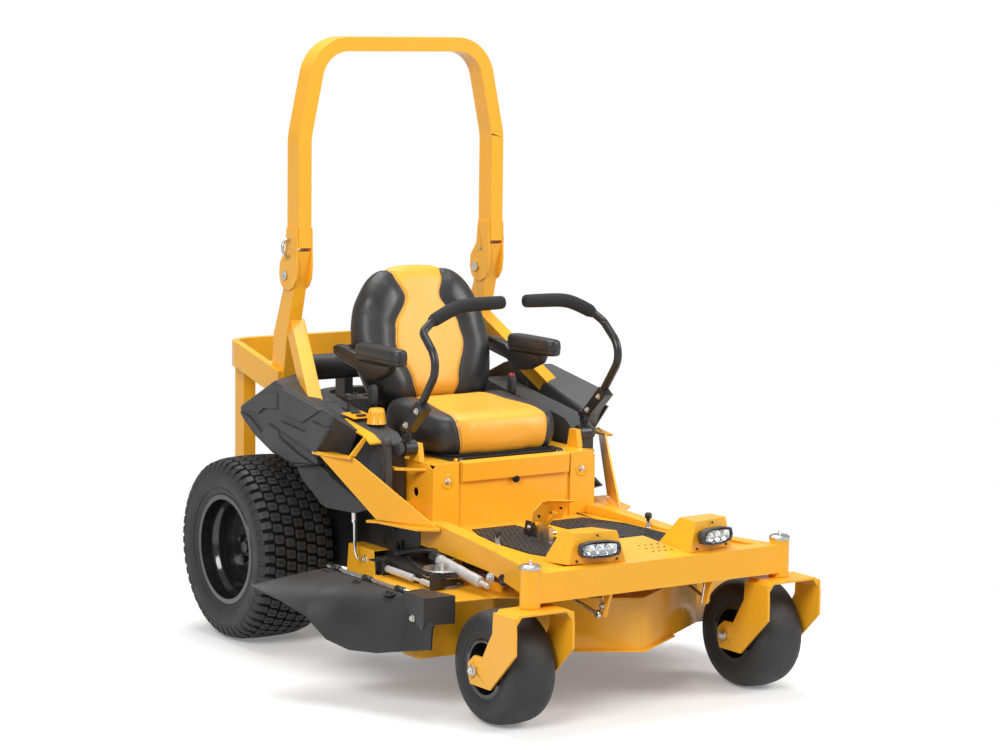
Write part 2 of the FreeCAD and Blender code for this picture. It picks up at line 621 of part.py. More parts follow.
hinge_pins, lock_pins = [], {}
hoop_path = route([(HOOP_X, HOOP_Y, HOOP_FOOT), (HOOP_X, HOOP_Y, HOOP_BEND),
                   (HOOP_SHOULDER_X, HOOP_Y, HOOP_TOP - HOOP_WIDTH / 2),
                   (-HOOP_SHOULDER_X, HOOP_Y, HOOP_TOP - HOOP_WIDTH / 2), (-HOOP_X, HOOP_Y, HOOP_BEND),
                   (-HOOP_X, HOOP_Y, HOOP_FOOT)], (240, 118, 118, 240))
corners = [V(HOOP_X + a * HOOP_WIDTH / 2, HOOP_Y + b * HOOP_DEPTH / 2, HOOP_FOOT)
           for a, b in ((-1, -1), (1, -1), (1, 1), (-1, 1))]
hoop = swept(hoop_path, Part.makePolygon(corners + corners[:1]))
for side in (LEFT, RIGHT):
    for way in (-1, 1):
        inner = side * (HOOP_X + way * (HOOP_WIDTH / 2 + SIDE_GAP))
        thick = side * way * HOOP_PLATE
        y0, y1 = HOOP_Y - HOOP_DEPTH / 2, HOOP_Y + HOOP_DEPTH / 2
        plate = side_plate([(y0 + 4, 1310), (y1 - 6, 1310), (y1 + 4, 1235), (30, 1195), (34, HINGE_Z),
                            (24, 1128), (4, 1112), (-30, 1110), (-58, 1124), (y0 + 6, 1150), (y0, 1190)],
                           inner, thick)
        # the plate is packed out to the tube's wall above the post
        pad = block(inner, inner - side * way * SIDE_GAP, y0 + 6, y1 - 6, HOOP_FOOT, 1308)
        plate = plate.fuse(pad)
        bore = rod((inner - 8, HINGE_Y, HINGE_Z), (inner + 8, HINGE_Y, HINGE_Z),
                   HINGE_PIN_RADIUS + RUNNING_FIT)
        hole = rod((inner - 8, LOCK_Y, LOCK_Z), (inner + 8, LOCK_Y, LOCK_Z), LOCK_PIN_RADIUS + RUNNING_FIT)
        hoop = hoop.fuse(plate.cut(bore).cut(hole))
    socket_top = 1272.0
    out_face = side * (HOOP_X + HOOP_WIDTH / 2 + SIDE_GAP + HOOP_PLATE)
    hoop = hoop.cut(rod((out_face + side, LOCK_Y, socket_top), (out_face - side * 26, LOCK_Y, socket_top),
                        LOCK_PIN_RADIUS + RUNNING_FIT))
    in_face = side * (HOOP_X - HOOP_WIDTH / 2 - SIDE_GAP - HOOP_PLATE)
    bow = out_face + side * 26
    path = route([(in_face - side * 6, LOCK_Y, LOCK_Z), (bow, LOCK_Y, LOCK_Z), (bow, LOCK_Y, socket_top),
                  (out_face - side * 24, LOCK_Y, socket_top)], (22, 22))
    pin = swept(path, round_section((in_face - side * 6, LOCK_Y, LOCK_Z), (side, 0, 0), LOCK_PIN_RADIUS))
    lock_pins[side] = pin
    pin_in, pin_out = in_face - side * 4, out_face + side * 4
    hinge = joined(rod((pin_in, HINGE_Y, HINGE_Z), (pin_out, HINGE_Y, HINGE_Z), HINGE_PIN_RADIUS),
                   rod((pin_out - side * 3.5, HINGE_Y, HINGE_Z), (pin_out + side * 3, HINGE_Y, HINGE_Z), 15),
                   rod((pin_in + side * 3.5, HINGE_Y, HINGE_Z), (pin_in - side * 6, HINGE_Y, HINGE_Z), 15))
    hinge_pins.append(hinge)
hoop = hoop.removeSplitter()
keep("rops_hoop", hoop)
keep("lock_pin_left", lock_pins[LEFT])
keep("lock_pin_right", lock_pins[RIGHT])

# ---------------------------------------------------------------- rear bumper
bar = 24.0
bumper_out = 404.0
rear_out = RAIL_REAR_Y + 24
outer_path = route([(bumper_out - bar / 2, 20, 880), (bumper_out - bar / 2, rear_out - bar / 2, 880),
                    (-bumper_out + bar / 2, rear_out - bar / 2, 880), (-bumper_out + bar / 2, 20, 880)],
                   (112, 112))
section = Part.makePolygon([V(bumper_out - bar, 20, 760), V(bumper_out, 20, 760), V(bumper_out, 20, 930),
                            V(bumper_out - bar, 20, 930), V(bumper_out - bar, 20, 760)])
bumper = swept(outer_path, section)
# the arms fall towards the front
bumper = bumper.common(side_plate([(500, 912), (300, 912), (0, 842), (0, 760), (60, 768), (300, 828),
                                   (500, 828)],
                                  -500, 1000))
keep("rear_bumper", cut_from(bumper, posts + frame_members))

# ---------------------------------------------------------------- side braces
braces = []
for side in (LEFT, RIGHT):
    a, b, c, d = (527, -439, 660), (429, -633, 470), (338, -823, 470), (484, -563, 656)
    points = [(side * x, y, z) for x, y, z in (a, b, c)]
    normal = (V(*points[1]) - V(*points[0])).cross(V(*points[2]) - V(*points[0])).normalize()
    if normal.z < 0:
        normal = normal * -1
    # the fourth corner lies in the plane of the other three
    fourth = V(side * d[0], d[1], d[2])
    fourth = fourth - normal * (fourth - V(*points[0])).dot(normal)
    quad = [V(*points[0]), V(*points[1]), V(*points[2]), fourth]
    plate = flat([tuple(q) for q in quad], tuple(normal * -6.0))
    foot = plan_plate([(side * x, y) for x, y in (
        (RAIL_OUT_REAR, -600), (452, -604), (430, -632), (398, -800), (340, -842), (330, -830),
                                                  (RAIL_OUT_REAR, -760))],
        458, 8)
    cap_plate = plan_plate([(side * x, y) for x, y in (
        (476, -408), (530, -412), (530, -452), (490, -575), (470, -560), (476, -470))], LEG_FOOT[2] - 7, 7)
    brace = plate.fuse(foot).fuse(cap_plate)
    braces.extend(cut_from(brace, frame_members + posts + [tower]).Solids)
# a plate bridges the right console and its fender, on a flange that stands on the brace
bridge = side_plate([(-400, 747.5), (-560, 718.5), (-600, 700), (-600, 694), (-560, 712.5), (-400, 741.5)],
                    -396.5, -40)
bridge_flange = flat([(-430, -566, 713), (-436.5, -566, 713), (-487, -566, 660), (-487, -566, 656),
                      (-466, -566, 656),
                      (-430, -566, 700)], (0, 6, 0))
bridge = cut_from(joined(bridge, bridge_flange), braces)
keep("side_braces", *braces, bridge)
braces.append(bridge)

# ---------------------------------------------------------------- fenders and consoles
def fender_section(side, x, fall, lead, wall=0.0, opened=0.0):
    """The fender's outline at one X. Its top falls and its nose leads towards the middle; a hollow is the same
    outline less the wall, opened downward."""
    points = [(88 - wall, 731 - fall / 2), (-185, 858 - fall - wall), (-235, 862 - fall - wall),
              (-477 - lead + wall, 783 - fall - wall), (-424 - lead + wall, 633 - opened),
              (-264, 577 - opened),
              (-93, 648 - opened)]
    corners = [V(side * x, y, z) for y, z in points]
    return Part.makePolygon(corners + corners[:1])


fenders = []
for side in (LEFT, RIGHT):
    shell = Part.makeLoft([fender_section(side, FENDER_OUT, 0, 0),
                           fender_section(side, FENDER_IN, FENDER_FALL, FENDER_LEAD)], True, True)
    hollow = Part.makeLoft([fender_section(side, FENDER_OUT - FENDER_WALL, 0, 0, FENDER_WALL, 90),
                            fender_section(side, FENDER_IN - 1, FENDER_FALL, FENDER_LEAD, FENDER_WALL, 90)],
                           True, True)
    # the tail narrows, and the outer face has two shallow steps pressed into it
    tail_bevel = plan_plate([(side * 560, 160), (side * 560, -175), (side * 485.6, 160)], 500, 500)
    hollow = hollow.cut(tail_bevel.translated(V(-side * FENDER_WALL, -FENDER_WALL, 0)))
    step = side_plate([(-195, 830), (-230, 756), (-370, 736), (-466, 790), (-466, 850), (-195, 880)],
                      side * (FENDER_OUT - FENDER_STEP), side * 40)
    lower_step = side_plate([(-500, 640), (-448, 712), (-372, 706), (-262, 722), (-205, 800), (-120, 730),
                             (-226, 560)],
                            side * (FENDER_OUT - FENDER_STEP), side * 40)
    shell = shell.cut(hollow).cut(tail_bevel).cut(step).cut(lower_step)
    # the guard falls in and down from the fender, ahead of the tyre
    guard_sections = []
    for z, out_x, fore, aft in ((640, 512, -428, -268), (540, 470, -436, -266), (450, 402, -470, -262)):
        guard_sections.append(Part.makePolygon([V(side * x, y, z) for x, y in (
            (356, fore), (out_x - 40, fore), (out_x, (fore + aft) / 2), (out_x, aft), (356, aft),
                                                                               (356, fore))]))
    guard = Part.makeLoft(guard_sections, True, True)
    guard = guard.cut(guard.translated(V(-side * 7, 8, -7)))
    fender = cut_from(shell.fuse(guard), posts + frame_members + braces)
    fenders.append(max(fender.Solids, key=lambda s: s.Volume))
keep("fenders", *fenders)

consoles = []
for side in (LEFT, RIGHT):
    body = side_plate([(-90, 655), (-90, 800), (-250, 770), (-430, 742), (-560, 718), (-600, 690),
                       (-600, 500), (-560, 480),
                       (-300, 480), (-250, 655)], side * 304, side * 92)
    body = softened(body, 12, lambda edge: along(edge, X_AXIS))
    body = cut_from(body, frame_members + posts + [tower])
    body = body.cut(side_plate([(-700, 400), (-700, 800), (-470, 800), (-470, 400)], side * 300, side * 12))
    consoles.append(max(body.Solids, key=lambda s: s.Volume))

# ---------------------------------------------------------------- engine, tank and drives
engine_y = 130.0
engine_floor = 480.0
engine = block(-150, 150, engine_y - 130, engine_y + 130, engine_floor, 640)
mount_plate = block(-(RAIL_OUT_REAR - 40), RAIL_OUT_REAR - 40, engine_y - 190, engine_y + 210, RAIL_TOP,
                    engine_floor)
for side in (LEFT, RIGHT):
    # two finned cylinders lie in a vee, pointing back and outward
    base = V(side * 90, engine_y + 60, 583)
    out = V(side * 0.72, 0.69, 0).normalize()
    for fin in range(7):
        start = base + out * (50 + fin * 15)
        engine = engine.fuse(rod(tuple(start), tuple(start + out * 6), 56))
    engine = engine.fuse(rod(tuple(base), tuple(base + out * 150), 42))
engine = engine.fuse(mount_plate)
crank_radius = 14.0
clutch_bore = rod((0, engine_y, 470), (0, engine_y, 492), crank_radius + RUNNING_FIT)
engine = cut_from(engine.cut(clutch_bore), frame_members).removeSplitter()
keep("engine_block", engine)

shroud = rod((0, engine_y, 640), (0, engine_y, 742), 168)
shroud = shroud.fuse(block(-168, 168, engine_y - 120, engine_y + 40, 640, 700))
shroud = shroud.cut(rod((0, engine_y, 700), (0, engine_y, 760), 128))
for slot in range(12):
    angle = 2 * math.pi * slot / 12
    spoke = block(-4, 4, 30, 128, 722, 728)
    spoke.rotate(V(0, 0, 0), Z_AXIS, math.degrees(angle))
    shroud = shroud.fuse(spoke.translated(V(0, engine_y, 0)))
shroud = shroud.fuse(ring((0, engine_y, 720), (0, engine_y, 730), 40, 20))
shroud = shroud.removeSplitter()
keep("engine_shroud", shroud)

filter_z, filter_y = 846.0, 60.0
canister = rod((-268, filter_y, filter_z), (150, filter_y, filter_z), 42)
canister = softened(canister, 8)
stand = block(-150, -118, filter_y - 30, filter_y + 30, 742, filter_z - 36)
far_stand = block(90, 122, filter_y - 30, filter_y + 30, 742, filter_z - 36)
canister = joined(canister, stand, far_stand)
keep("air_cleaner", canister)

muffler = softened(block(-170, 170, 286, 368, 500, 610), 24, lambda e: along(e, X_AXIS))
tail_pipe = swept(route([(120, 360, 555), (120, 400, 555), (120, 440, 520)], (20,)),
                  round_section((120, 360, 555), (0, 1, 0), 17))
muffler = muffler.cut(engine).fuse(cut_from(tail_pipe, frame_members)).removeSplitter()
keep("muffler", max(muffler.Solids, key=lambda s: s.Volume))

tank = softened(block(-210, 210, -420, -140, 480, 610), 18)
tank_cap = rod((0, -280, 610), (0, -280, 634), 38)
for y in (-350, -210):
    tank = tank.fuse(block(-RAIL_OUT_REAR + 14, RAIL_OUT_REAR - 14, y - 18, y + 18, RAIL_TOP, 481))
keep("fuel_tank", tank.cut(consoles[0]).cut(consoles[1]).removeSplitter(), tank_cap)

drives = []
for side in (LEFT, RIGHT):
    end = side * (RAIL_OUT_REAR + 14)
    case = softened(block(side * 166, side * 262, -95, 75, 215, 385), 16, lambda e: along(e, Z_AXIS))
    horn = rod((side * 262, 0, REAR_TYRE_RADIUS), (end - side * SIDE_GAP, 0, REAR_TYRE_RADIUS), 42)
    pulley = turned([(0, 16), (0, 62), (4, 66), (11, 52), (18, 66), (22, 62), (22, 16)],
                    (side * 196, -10, 385), Z_AXIS)
    hanger = block(side * (RAIL_OUT_REAR - 44), side * (RAIL_OUT_REAR - 36), -70, 60, 330, RAIL_FOOT)
    hanger = hanger.fuse(block(side * 230, side * (RAIL_OUT_REAR - 36), -70, 60, 322, 330))
    unit = case.fuse(horn).fuse(hanger.cut(horn)).fuse(rod((side * 196, -10, 380), (side * 196, -10, 410),
                                                           16))
    unit = unit.fuse(pulley.cut(rod((side * 196, -10, 380), (side * 196, -10, 410), 16)))
    drives.extend(cut_from(unit, frame_members).removeSplitter().Solids)
keep("hydro_drives", *drives)

# ---------------------------------------------------------------- cutting deck
deck_corner_x = (DECK_CORNER_Y - DECK_TIP_Y) / DECK_SLOPE
half_edge = [(0, DECK_TIP_Y), (deck_corner_x, DECK_CORNER_Y), (DECK_SIDE_X, DECK_CORNER_Y + 22),
             (DECK_SIDE_X, DECK_REAR_Y - 40), (DECK_SIDE_X - 60, DECK_REAR_Y), (230, DECK_REAR_Y),
             (130, -900)]

def closed(half):
    return half + [(-x, y) for x, y in reversed(half) if x]


def wall(start, end, foot):
    """A deck wall between two corners of the plan, inside the line that joins them."""
    start, end = V(*start, foot), V(*end, foot)
    inward = V(0, 0, 1).cross(end - start).normalize() * DECK_WALL
    return flat([tuple(start), tuple(end), tuple(end + inward), tuple(start + inward)],
                (0, 0, DECK_TOP - DECK_WALL - foot))


outline = closed(half_edge)
top_plate = plan_plate(outline, DECK_TOP - DECK_WALL, DECK_WALL)
for x, y in ((SPINDLE_X, SPINDLE_Y), (0, CENTRE_SPINDLE_Y), (-SPINDLE_X, SPINDLE_Y)):
    top_plate = top_plate.cut(rod((x, y, DECK_TOP - 20), (x, y, DECK_TOP + 20), SPINDLE_BOSS))
for x in (-300, 300):
    top_plate = top_plate.fuse(block(x - 4, x + 4, -1120, -780, DECK_TOP, DECK_TOP + 22))
inside = plan_plate(outline, DECK_SKIRT, DECK_TOP - DECK_SKIRT)
walls = [wall(*ends, DECK_SKIRT).common(inside) for ends in zip(outline, outline[1:] + outline[:1])]
# the opening on the discharge side
mouth = block(-DECK_SIDE_X - 1, -DECK_SIDE_X + 40, CHUTE_FRONT_Y, CHUTE_REAR_Y - 60, DECK_SKIRT - 1,
              DECK_TOP - 14)
# the top is seamed inboard of each outer spindle
seam = block(-DECK_SEAM_X, DECK_SEAM_X, DECK_TIP_Y - 10, DECK_REAR_Y + 10, DECK_TOP - 10, DECK_TOP + 40)
deck = welded(top_plate.common(seam).removeSplitter(), *top_plate.cut(seam).Solids,
              *[w.cut(mouth) for w in walls])
# a lip turned out along the foot of the front walls, clear of the circles that the casters sweep
for side in (LEFT, RIGHT):
    lip_plate = plan_plate([(side * x, y) for x, y in (
        (0, DECK_TIP_Y), (0, DECK_TIP_Y - DECK_LIP * 1.17),
                                                       (200, DECK_TIP_Y - DECK_LIP * 1.17
                                                        + 200 * DECK_SLOPE),
        (200, DECK_TIP_Y + 200 * DECK_SLOPE))], DECK_SKIRT, DECK_WALL)
    deck = welded(*deck, lip_plate)
# ears behind the rear wall, each pair with the axle of an anti-scalp roller
for side in (LEFT, RIGHT):
    ears = []
    for x in (ROLLER_X - ROLLER_WIDTH / 2 - 8, ROLLER_X + ROLLER_WIDTH / 2 + 2):
        ears.append(side_plate([(DECK_REAR_Y, 172), (DECK_REAR_Y, 250), (ROLLER_Y + 14, 196),
                                (ROLLER_Y + 14, 164),
                                (ROLLER_Y - 10, 160)], side * x, side * 6))
    axle = rod((side * (ROLLER_X - ROLLER_WIDTH / 2 - 12), ROLLER_Y, ROLLER_Z),
               (side * (ROLLER_X + ROLLER_WIDTH / 2 + 12), ROLLER_Y, ROLLER_Z), ROLLER_AXLE)
    deck.append(joined(ears[0], axle, ears[1]))
keep("deck_shell", *deck)
rollers = []
for side in (LEFT, RIGHT):
    half, r, bore = ROLLER_WIDTH / 2, ROLLER_RADIUS, ROLLER_AXLE + RUNNING_FIT
    rollers.append(turned([(-half + 0.6, bore), (-half + 0.6, r - 8), (-half + 8, r), (half - 8, r),
                           (half - 0.6, r - 8),
                           (half - 0.6, bore)], (side * ROLLER_X, ROLLER_Y, ROLLER_Z)))
keep("anti_scalp_rollers", *rollers)

housings, spindles, blades = [], {}, {}
shaft_radius = 12.5
pulley_z = DECK_TOP + 28 + SIDE_GAP
groove = [(0, 5), (0, 60), (4, 64), (12, 48), (20, 64), (24, 60), (24, 5)]
for word, x, y in (("left", SPINDLE_X, SPINDLE_Y), ("centre", 0.0, CENTRE_SPINDLE_Y),
                   ("right", -SPINDLE_X, SPINDLE_Y)):
    bearing = SPINDLE_BOSS - 0.2
    housing = turned([(-48, 20), (-48, bearing), (0, bearing), (0, 62), (8, 62), (12, 34), (28, 30),
                      (28, 20)],
                     (x, y, DECK_TOP), Z_AXIS)
    for n in range(6):
        angle = math.pi / 3 * n
        bolt = rod((x + 50 * math.cos(angle), y + 50 * math.sin(angle), DECK_TOP),
                   (x + 50 * math.cos(angle), y + 50 * math.sin(angle), DECK_TOP + 13), 6)
        housing = housing.fuse(bolt)
    # the lining carries the shaft at both bearings
    lining = ring((x, y, DECK_TOP - 48), (x, y, DECK_TOP + 28), 20, shaft_radius + RUNNING_FIT)
    housing = housing.fuse(lining).removeSplitter()
    housings.append(housing)
    shaft = joined(
        rod((x, y, BLADE_Z + 10), (x, y, pulley_z + 34), shaft_radius),
        turned(groove, (x, y, pulley_z), Z_AXIS),
        rod((x, y, BLADE_Z + 10), (x, y, DECK_TOP - 48 - SIDE_GAP), 22),
        rod((x, y, pulley_z + 24), (x, y, pulley_z + 38), 18),
    )
    # a flat blade with a lifted trailing wing at each end, and its bolt
    half, chord = BLADE_LENGTH / 2, 64.0
    blade = block(-half, half, -chord / 2, chord / 2, BLADE_Z, BLADE_Z + 6)
    for way in (-1, 1):
        tip0, tip1 = way * half, way * (half - 100)
        wing = flat([(tip1, way * chord / 2, BLADE_Z), (tip1, way * (chord / 2 - 14), BLADE_Z + 6),
                     (tip1, way * (chord / 2 + 4), BLADE_Z + 24),
                     (tip1, way * (chord / 2 + 10), BLADE_Z + 20)],
                    (tip0 - tip1, 0, 0))
        blade = blade.fuse(wing)
    limit = rod((0, 0, BLADE_Z - 5), (0, 0, BLADE_Z + 40), half)
    blade = blade.common(limit).translated(V(x, y, 0)).removeSplitter()
    blade_bolt = rod((x, y, BLADE_Z + 6), (x, y, BLADE_Z + 10),
                     22).fuse(rod((x, y, BLADE_Z - 14), (x, y, BLADE_Z), 15))
    keep("blade_" + word, blade)
    keep("spindle_" + word, shaft, *blade_bolt.Solids)
keep("spindle_housings", *housings)

# chute: a stiff rubber flap that lies flat at the back and droops at the front
hinge = (CHUTE_HINGE_X - 12, CHUTE_HINGE_Z)
flap_thick = 5.0


def flap_section(y, bend, edge):
    """A strip in X and Z at one place along the hinge: from the hinge line out to a bend, then down to its edge."""
    x0, z0 = hinge[0] - 2, hinge[1] - 9
    (x1, z1), (x2, z2) = bend, edge
    run = V(x2 - x1, 0, z2 - z1).normalize()
    inward = V(-run.z, 0, run.x) * -flap_thick
    if inward.z > 0:
        inward = inward * -1
    points = [V(x0, y, z0), V(x1, y, z1), V(x2, y, z2), V(x2, y, z2) + inward,
              V(x1, y, z1) + V(0, 0, -flap_thick), V(x0, y, z0 - flap_thick)]
    return Part.makePolygon(points + points[:1])


flap_front = CHUTE_FRONT_Y - 32
stations = ((CHUTE_REAR_Y, (-790, 320), (CHUTE_TIP_X, 312)), (-760, (-765, 319), (-818, 286)),
            (-850, (-730, 319), (-776, 246)), (-930, (-690, 320), (-742, 176)),
            (-1000, (-660, 322), (-712, 170)),
            (CHUTE_FRONT_Y, (-636, 324), (-680, 186)), (flap_front, (-632, 324), (-668, 191)))
flap = Part.makeLoft([flap_section(*s) for s in stations], True, True)
# the flap's front corner runs on under the bracket's tab
corner = flat([(-666, flap_front + 1, 216), (-626, flap_front - 94, 214), (-626, flap_front - 94, 207),
               (-666, flap_front + 1, 192)], (flap_thick, 0, 0))
flap = flap.fuse(corner)
knuckles = []
for y0, y1 in ((-700, -660), (-1060, -1020), (-880, -840)):
    knuckles.append(ring((CHUTE_HINGE_X, y0, CHUTE_HINGE_Z), (CHUTE_HINGE_X, y1, CHUTE_HINGE_Z), 9,
                         5 + RUNNING_FIT))
    knuckles.append(block(CHUTE_HINGE_X - 40, CHUTE_HINGE_X - 4, y0, y1, CHUTE_HINGE_Z - 13,
                          CHUTE_HINGE_Z - 4))
chute = flap
for k in knuckles:
    chute = chute.fuse(k)
chute = chute.cut(rod((CHUTE_HINGE_X, -1100, CHUTE_HINGE_Z), (CHUTE_HINGE_X, -600, CHUTE_HINGE_Z),
                      5 + RUNNING_FIT))
chute = chute.removeSplitter()
keep("discharge_chute", chute)

# black bracket in front of the chute, its hinge rod and the stay on the deck's top
bracket = side_plate([(CHUTE_FRONT_Y - 34, 344), (-1228, 344), (-1228, 262),
                      (CHUTE_FRONT_Y - 120, 262), (CHUTE_FRONT_Y - 112, 222), (CHUTE_FRONT_Y - 66, 222),
                      (CHUTE_FRONT_Y - 34, 270)], -DECK_SIDE_X - 6, 5)
# its top is cut back from the circle that the caster's tyre sweeps
bracket = bracket.fuse(plan_plate([(-DECK_SIDE_X - 6, CHUTE_FRONT_Y - 34), (-520, CHUTE_FRONT_Y - 34),
                                   (-520, -1180), (-560, -1196),
                                   (-608, -1228), (-DECK_SIDE_X - 6, -1228)], 340, 5))
bracket = bracket.fuse(block(-540, -530, CHUTE_FRONT_Y - 102, CHUTE_FRONT_Y - 34, DECK_TOP, 341))
hinge_rod = rod((CHUTE_HINGE_X, CHUTE_FRONT_Y - 40, CHUTE_HINGE_Z), (CHUTE_HINGE_X, -630, CHUTE_HINGE_Z), 5)
stay_rear = block(CHUTE_HINGE_X - 8, CHUTE_HINGE_X + 40, -646, -636, CHUTE_HINGE_Z - 10, CHUTE_HINGE_Z + 10)
stay_front = block(CHUTE_HINGE_X - 8, CHUTE_HINGE_X + 8, CHUTE_FRONT_Y - 40, CHUTE_FRONT_Y - 34, 345,
                   CHUTE_HINGE_Z + 10)
rail_x = CHUTE_HINGE_X + 24
stay_bar = block(rail_x, rail_x + 8, CHUTE_FRONT_Y - 34, -636, DECK_TOP, CHUTE_HINGE_Z + 8)
bracket = joined(bracket.cut(deck), hinge_rod, stay_rear.fuse(stay_bar).cut(deck), stay_front)
bracket = bracket.cut(deck)
keep("chute_bracket", *bracket.Solids)

# ---------------------------------------------------------------- deck lift
hangers, shafts = [], {}
rest = math.radians(LIFT_REST)
pin_radius, slack = 5.0, 4.0
low = math.radians(40)                 # the arms' dip with the deck at its lowest
travel_y = LIFT_ARM * (math.cos(rest) - math.cos(low))
pin_z = LIFT_Z + LIFT_ARM * math.sin(rest)
for word, shaft_y, way in (("rear", LIFT_REAR_Y, -1), ("front", LIFT_FRONT_Y, 1)):
    pin_y = shaft_y + way * LIFT_ARM * math.cos(rest)
    half_shaft = RAIL_OUT_REAR - RAIL_WIDTH - SIDE_GAP if word == "rear" else 320.0
    arms = rod((-half_shaft, shaft_y, LIFT_Z), (half_shaft, shaft_y, LIFT_Z), LIFT_SHAFT_RADIUS)
    for side in (LEFT, RIGHT):
        x = side * LIFT_ARM_X
        arm = side_plate([(0, -16), (0, 16), (LIFT_ARM, 9), (LIFT_ARM + 9, 0), (LIFT_ARM, -9)], x, -side * 6)
        arm.rotate(V(0, 0, 0), X_AXIS, LIFT_REST)
        if way < 0:
            arm = arm.mirror(V(0, 0, 0), Y_AXIS)
        arm = arm.translated(V(0, shaft_y, LIFT_Z))
        boss = rod((x - side * 12, shaft_y, LIFT_Z), (x + side * 4, shaft_y, LIFT_Z), 20)
        pin = rod((x - side * 6, pin_y, pin_z), (x + side * 18, pin_y, pin_z), pin_radius)
        arms = arms.fuse(arm).fuse(boss).fuse(pin)
        # a hanger on the deck, with the window that the pin works in
        y0, y1 = min(pin_y, pin_y - way * travel_y) - pin_radius - 3, max(pin_y,
                                                                          pin_y - way * travel_y) + pin_radius + 3
        hanger_x = x + side * 6
        top = pin_z + pin_radius + slack + 3.0
        hanger = block(hanger_x, hanger_x + side * 7, y0 - 8, y1 + 8, DECK_TOP, top)
        hanger = hanger.cut(block(hanger_x - 8, hanger_x + 8 + side * 7, y0, y1,
                                  pin_z - pin_radius - slack, pin_z + pin_radius + slack))
        hanger = hanger.fuse(block(hanger_x, hanger_x + side * 34, y0 - 8, y1 + 8, DECK_TOP, DECK_TOP + 7))
        hangers.append(hanger.removeSplitter())
    shafts[word] = arms.removeSplitter()
keep("lift_hangers", *hangers)

# stubs that the shafts turn on: the front pair hang from the rails, the rear pair stand out from them
stub_radius = 5.0
front_inner, rear_inner = 320.5, RAIL_OUT_REAR - RAIL_WIDTH
hangings = []
for side in (LEFT, RIGHT):
    inner = side * front_inner
    plate = block(inner, inner + side * 8, LIFT_FRONT_Y - 22, LIFT_FRONT_Y + 22, 394, FLOOR_TOP - SHEET)
    web = block(inner, side * 352, LIFT_FRONT_Y - 22, LIFT_FRONT_Y + 22, FLOOR_TOP - SHEET - 6,
                FLOOR_TOP - SHEET)
    stub = rod((inner - side * 20, LIFT_FRONT_Y, LIFT_Z), (inner + side * 8, LIFT_FRONT_Y, LIFT_Z),
               stub_radius)
    hangings.append(joined(plate, web, stub))
    hangings.append(rod((side * rear_inner, LIFT_REAR_Y, LIFT_Z),
                        (side * (rear_inner - 20), LIFT_REAR_Y, LIFT_Z), stub_radius))
for word, shaft_y, half in (("rear", LIFT_REAR_Y, rear_inner), ("front", LIFT_FRONT_Y, front_inner)):
    shaft = shafts[word]
    for side in (LEFT, RIGHT):
        shaft = shaft.cut(rod((side * (half - 21), shaft_y, LIFT_Z), (side * (half + 2), shaft_y, LIFT_Z),
                              stub_radius + RUNNING_FIT))
    keep("lift_shaft_" + word, shaft)

# lift pedal: a yellow arm from a black pivot block on the floor to a folded foot plate
pedal_x, pedal_y, pedal_z = -100.0, -1080.0, 470.0
block_half = 14.0
pivot_block = block(pedal_x - block_half - 16, pedal_x - block_half - 0.5, pedal_y - 30, pedal_y + 26,
                    FLOOR_TOP + MAT_THICK,
                    pedal_z + 22)
pivot_pin = rod((pedal_x - block_half - 1, pedal_y, pedal_z), (pedal_x + block_half, pedal_y, pedal_z), 7)
arm = side_plate([(pedal_y - 14, pedal_z - 14), (pedal_y + 14, pedal_z - 14), (pedal_y + 40, pedal_z + 40),
                  (pedal_y + 42, 566),
                  (pedal_y + 22, 566), (pedal_y + 16, pedal_z + 46), (pedal_y - 18, pedal_z + 8)],
                 pedal_x - block_half, 2 * block_half)
pad = flat([(pedal_x - 34, pedal_y + 20, 560), (pedal_x + 58, pedal_y + 20, 560),
            (pedal_x + 58, pedal_y + 20, 512),
            (pedal_x - 20, pedal_y + 20, 505), (pedal_x - 34, pedal_y + 20, 524)], (0, -5, 0))
pad = pad.fuse(block(pedal_x - 34, pedal_x + 58, pedal_y - 12, pedal_y + 20, 560, 566))
pad = pad.fuse(block(pedal_x - block_half, pedal_x + block_half, pedal_y + 15, pedal_y + 23, 512, 560))
pedal = joined(arm, pad).cut(rod((pedal_x - 40, pedal_y, pedal_z), (pedal_x + 40, pedal_y, pedal_z),
                                 7 + RUNNING_FIT))
keep("lift_pedal", pedal.removeSplitter())
pivot_block = pivot_block.fuse(pivot_pin).removeSplitter()
keep("foot_mats", *[mat.cut(block(pedal_x - 34, pedal_x - 12, pedal_y - 34, pedal_y + 30, FLOOR_TOP - 1,
                                  FLOOR_TOP + 10))
                    for mat in mats])
pivot_block = pivot_block.fuse(block(pedal_x - 33, pedal_x - 14.5, pedal_y - 33, pedal_y + 29, FLOOR_TOP,
                                     FLOOR_TOP + MAT_THICK)).removeSplitter()

# ---------------------------------------------------------------- clutch, pulleys and belt
clutch = joined(
    turned([(a, b if b > 5 else 10) for a, b in groove], (0, engine_y, pulley_z), Z_AXIS),
    rod((0, engine_y, pulley_z + 24), (0, engine_y, 384), 70),
    turned([(0, 10), (0, 52), (4, 56), (11, 42), (18, 56), (22, 52), (22, 10)], (0, engine_y, 385 - 1),
           Z_AXIS),
    rod((0, engine_y, pulley_z), (0, engine_y, 491), crank_radius),
    rod((0, engine_y, 406), (0, engine_y, 466), 20),
)
keep("clutch_pulley", clutch)


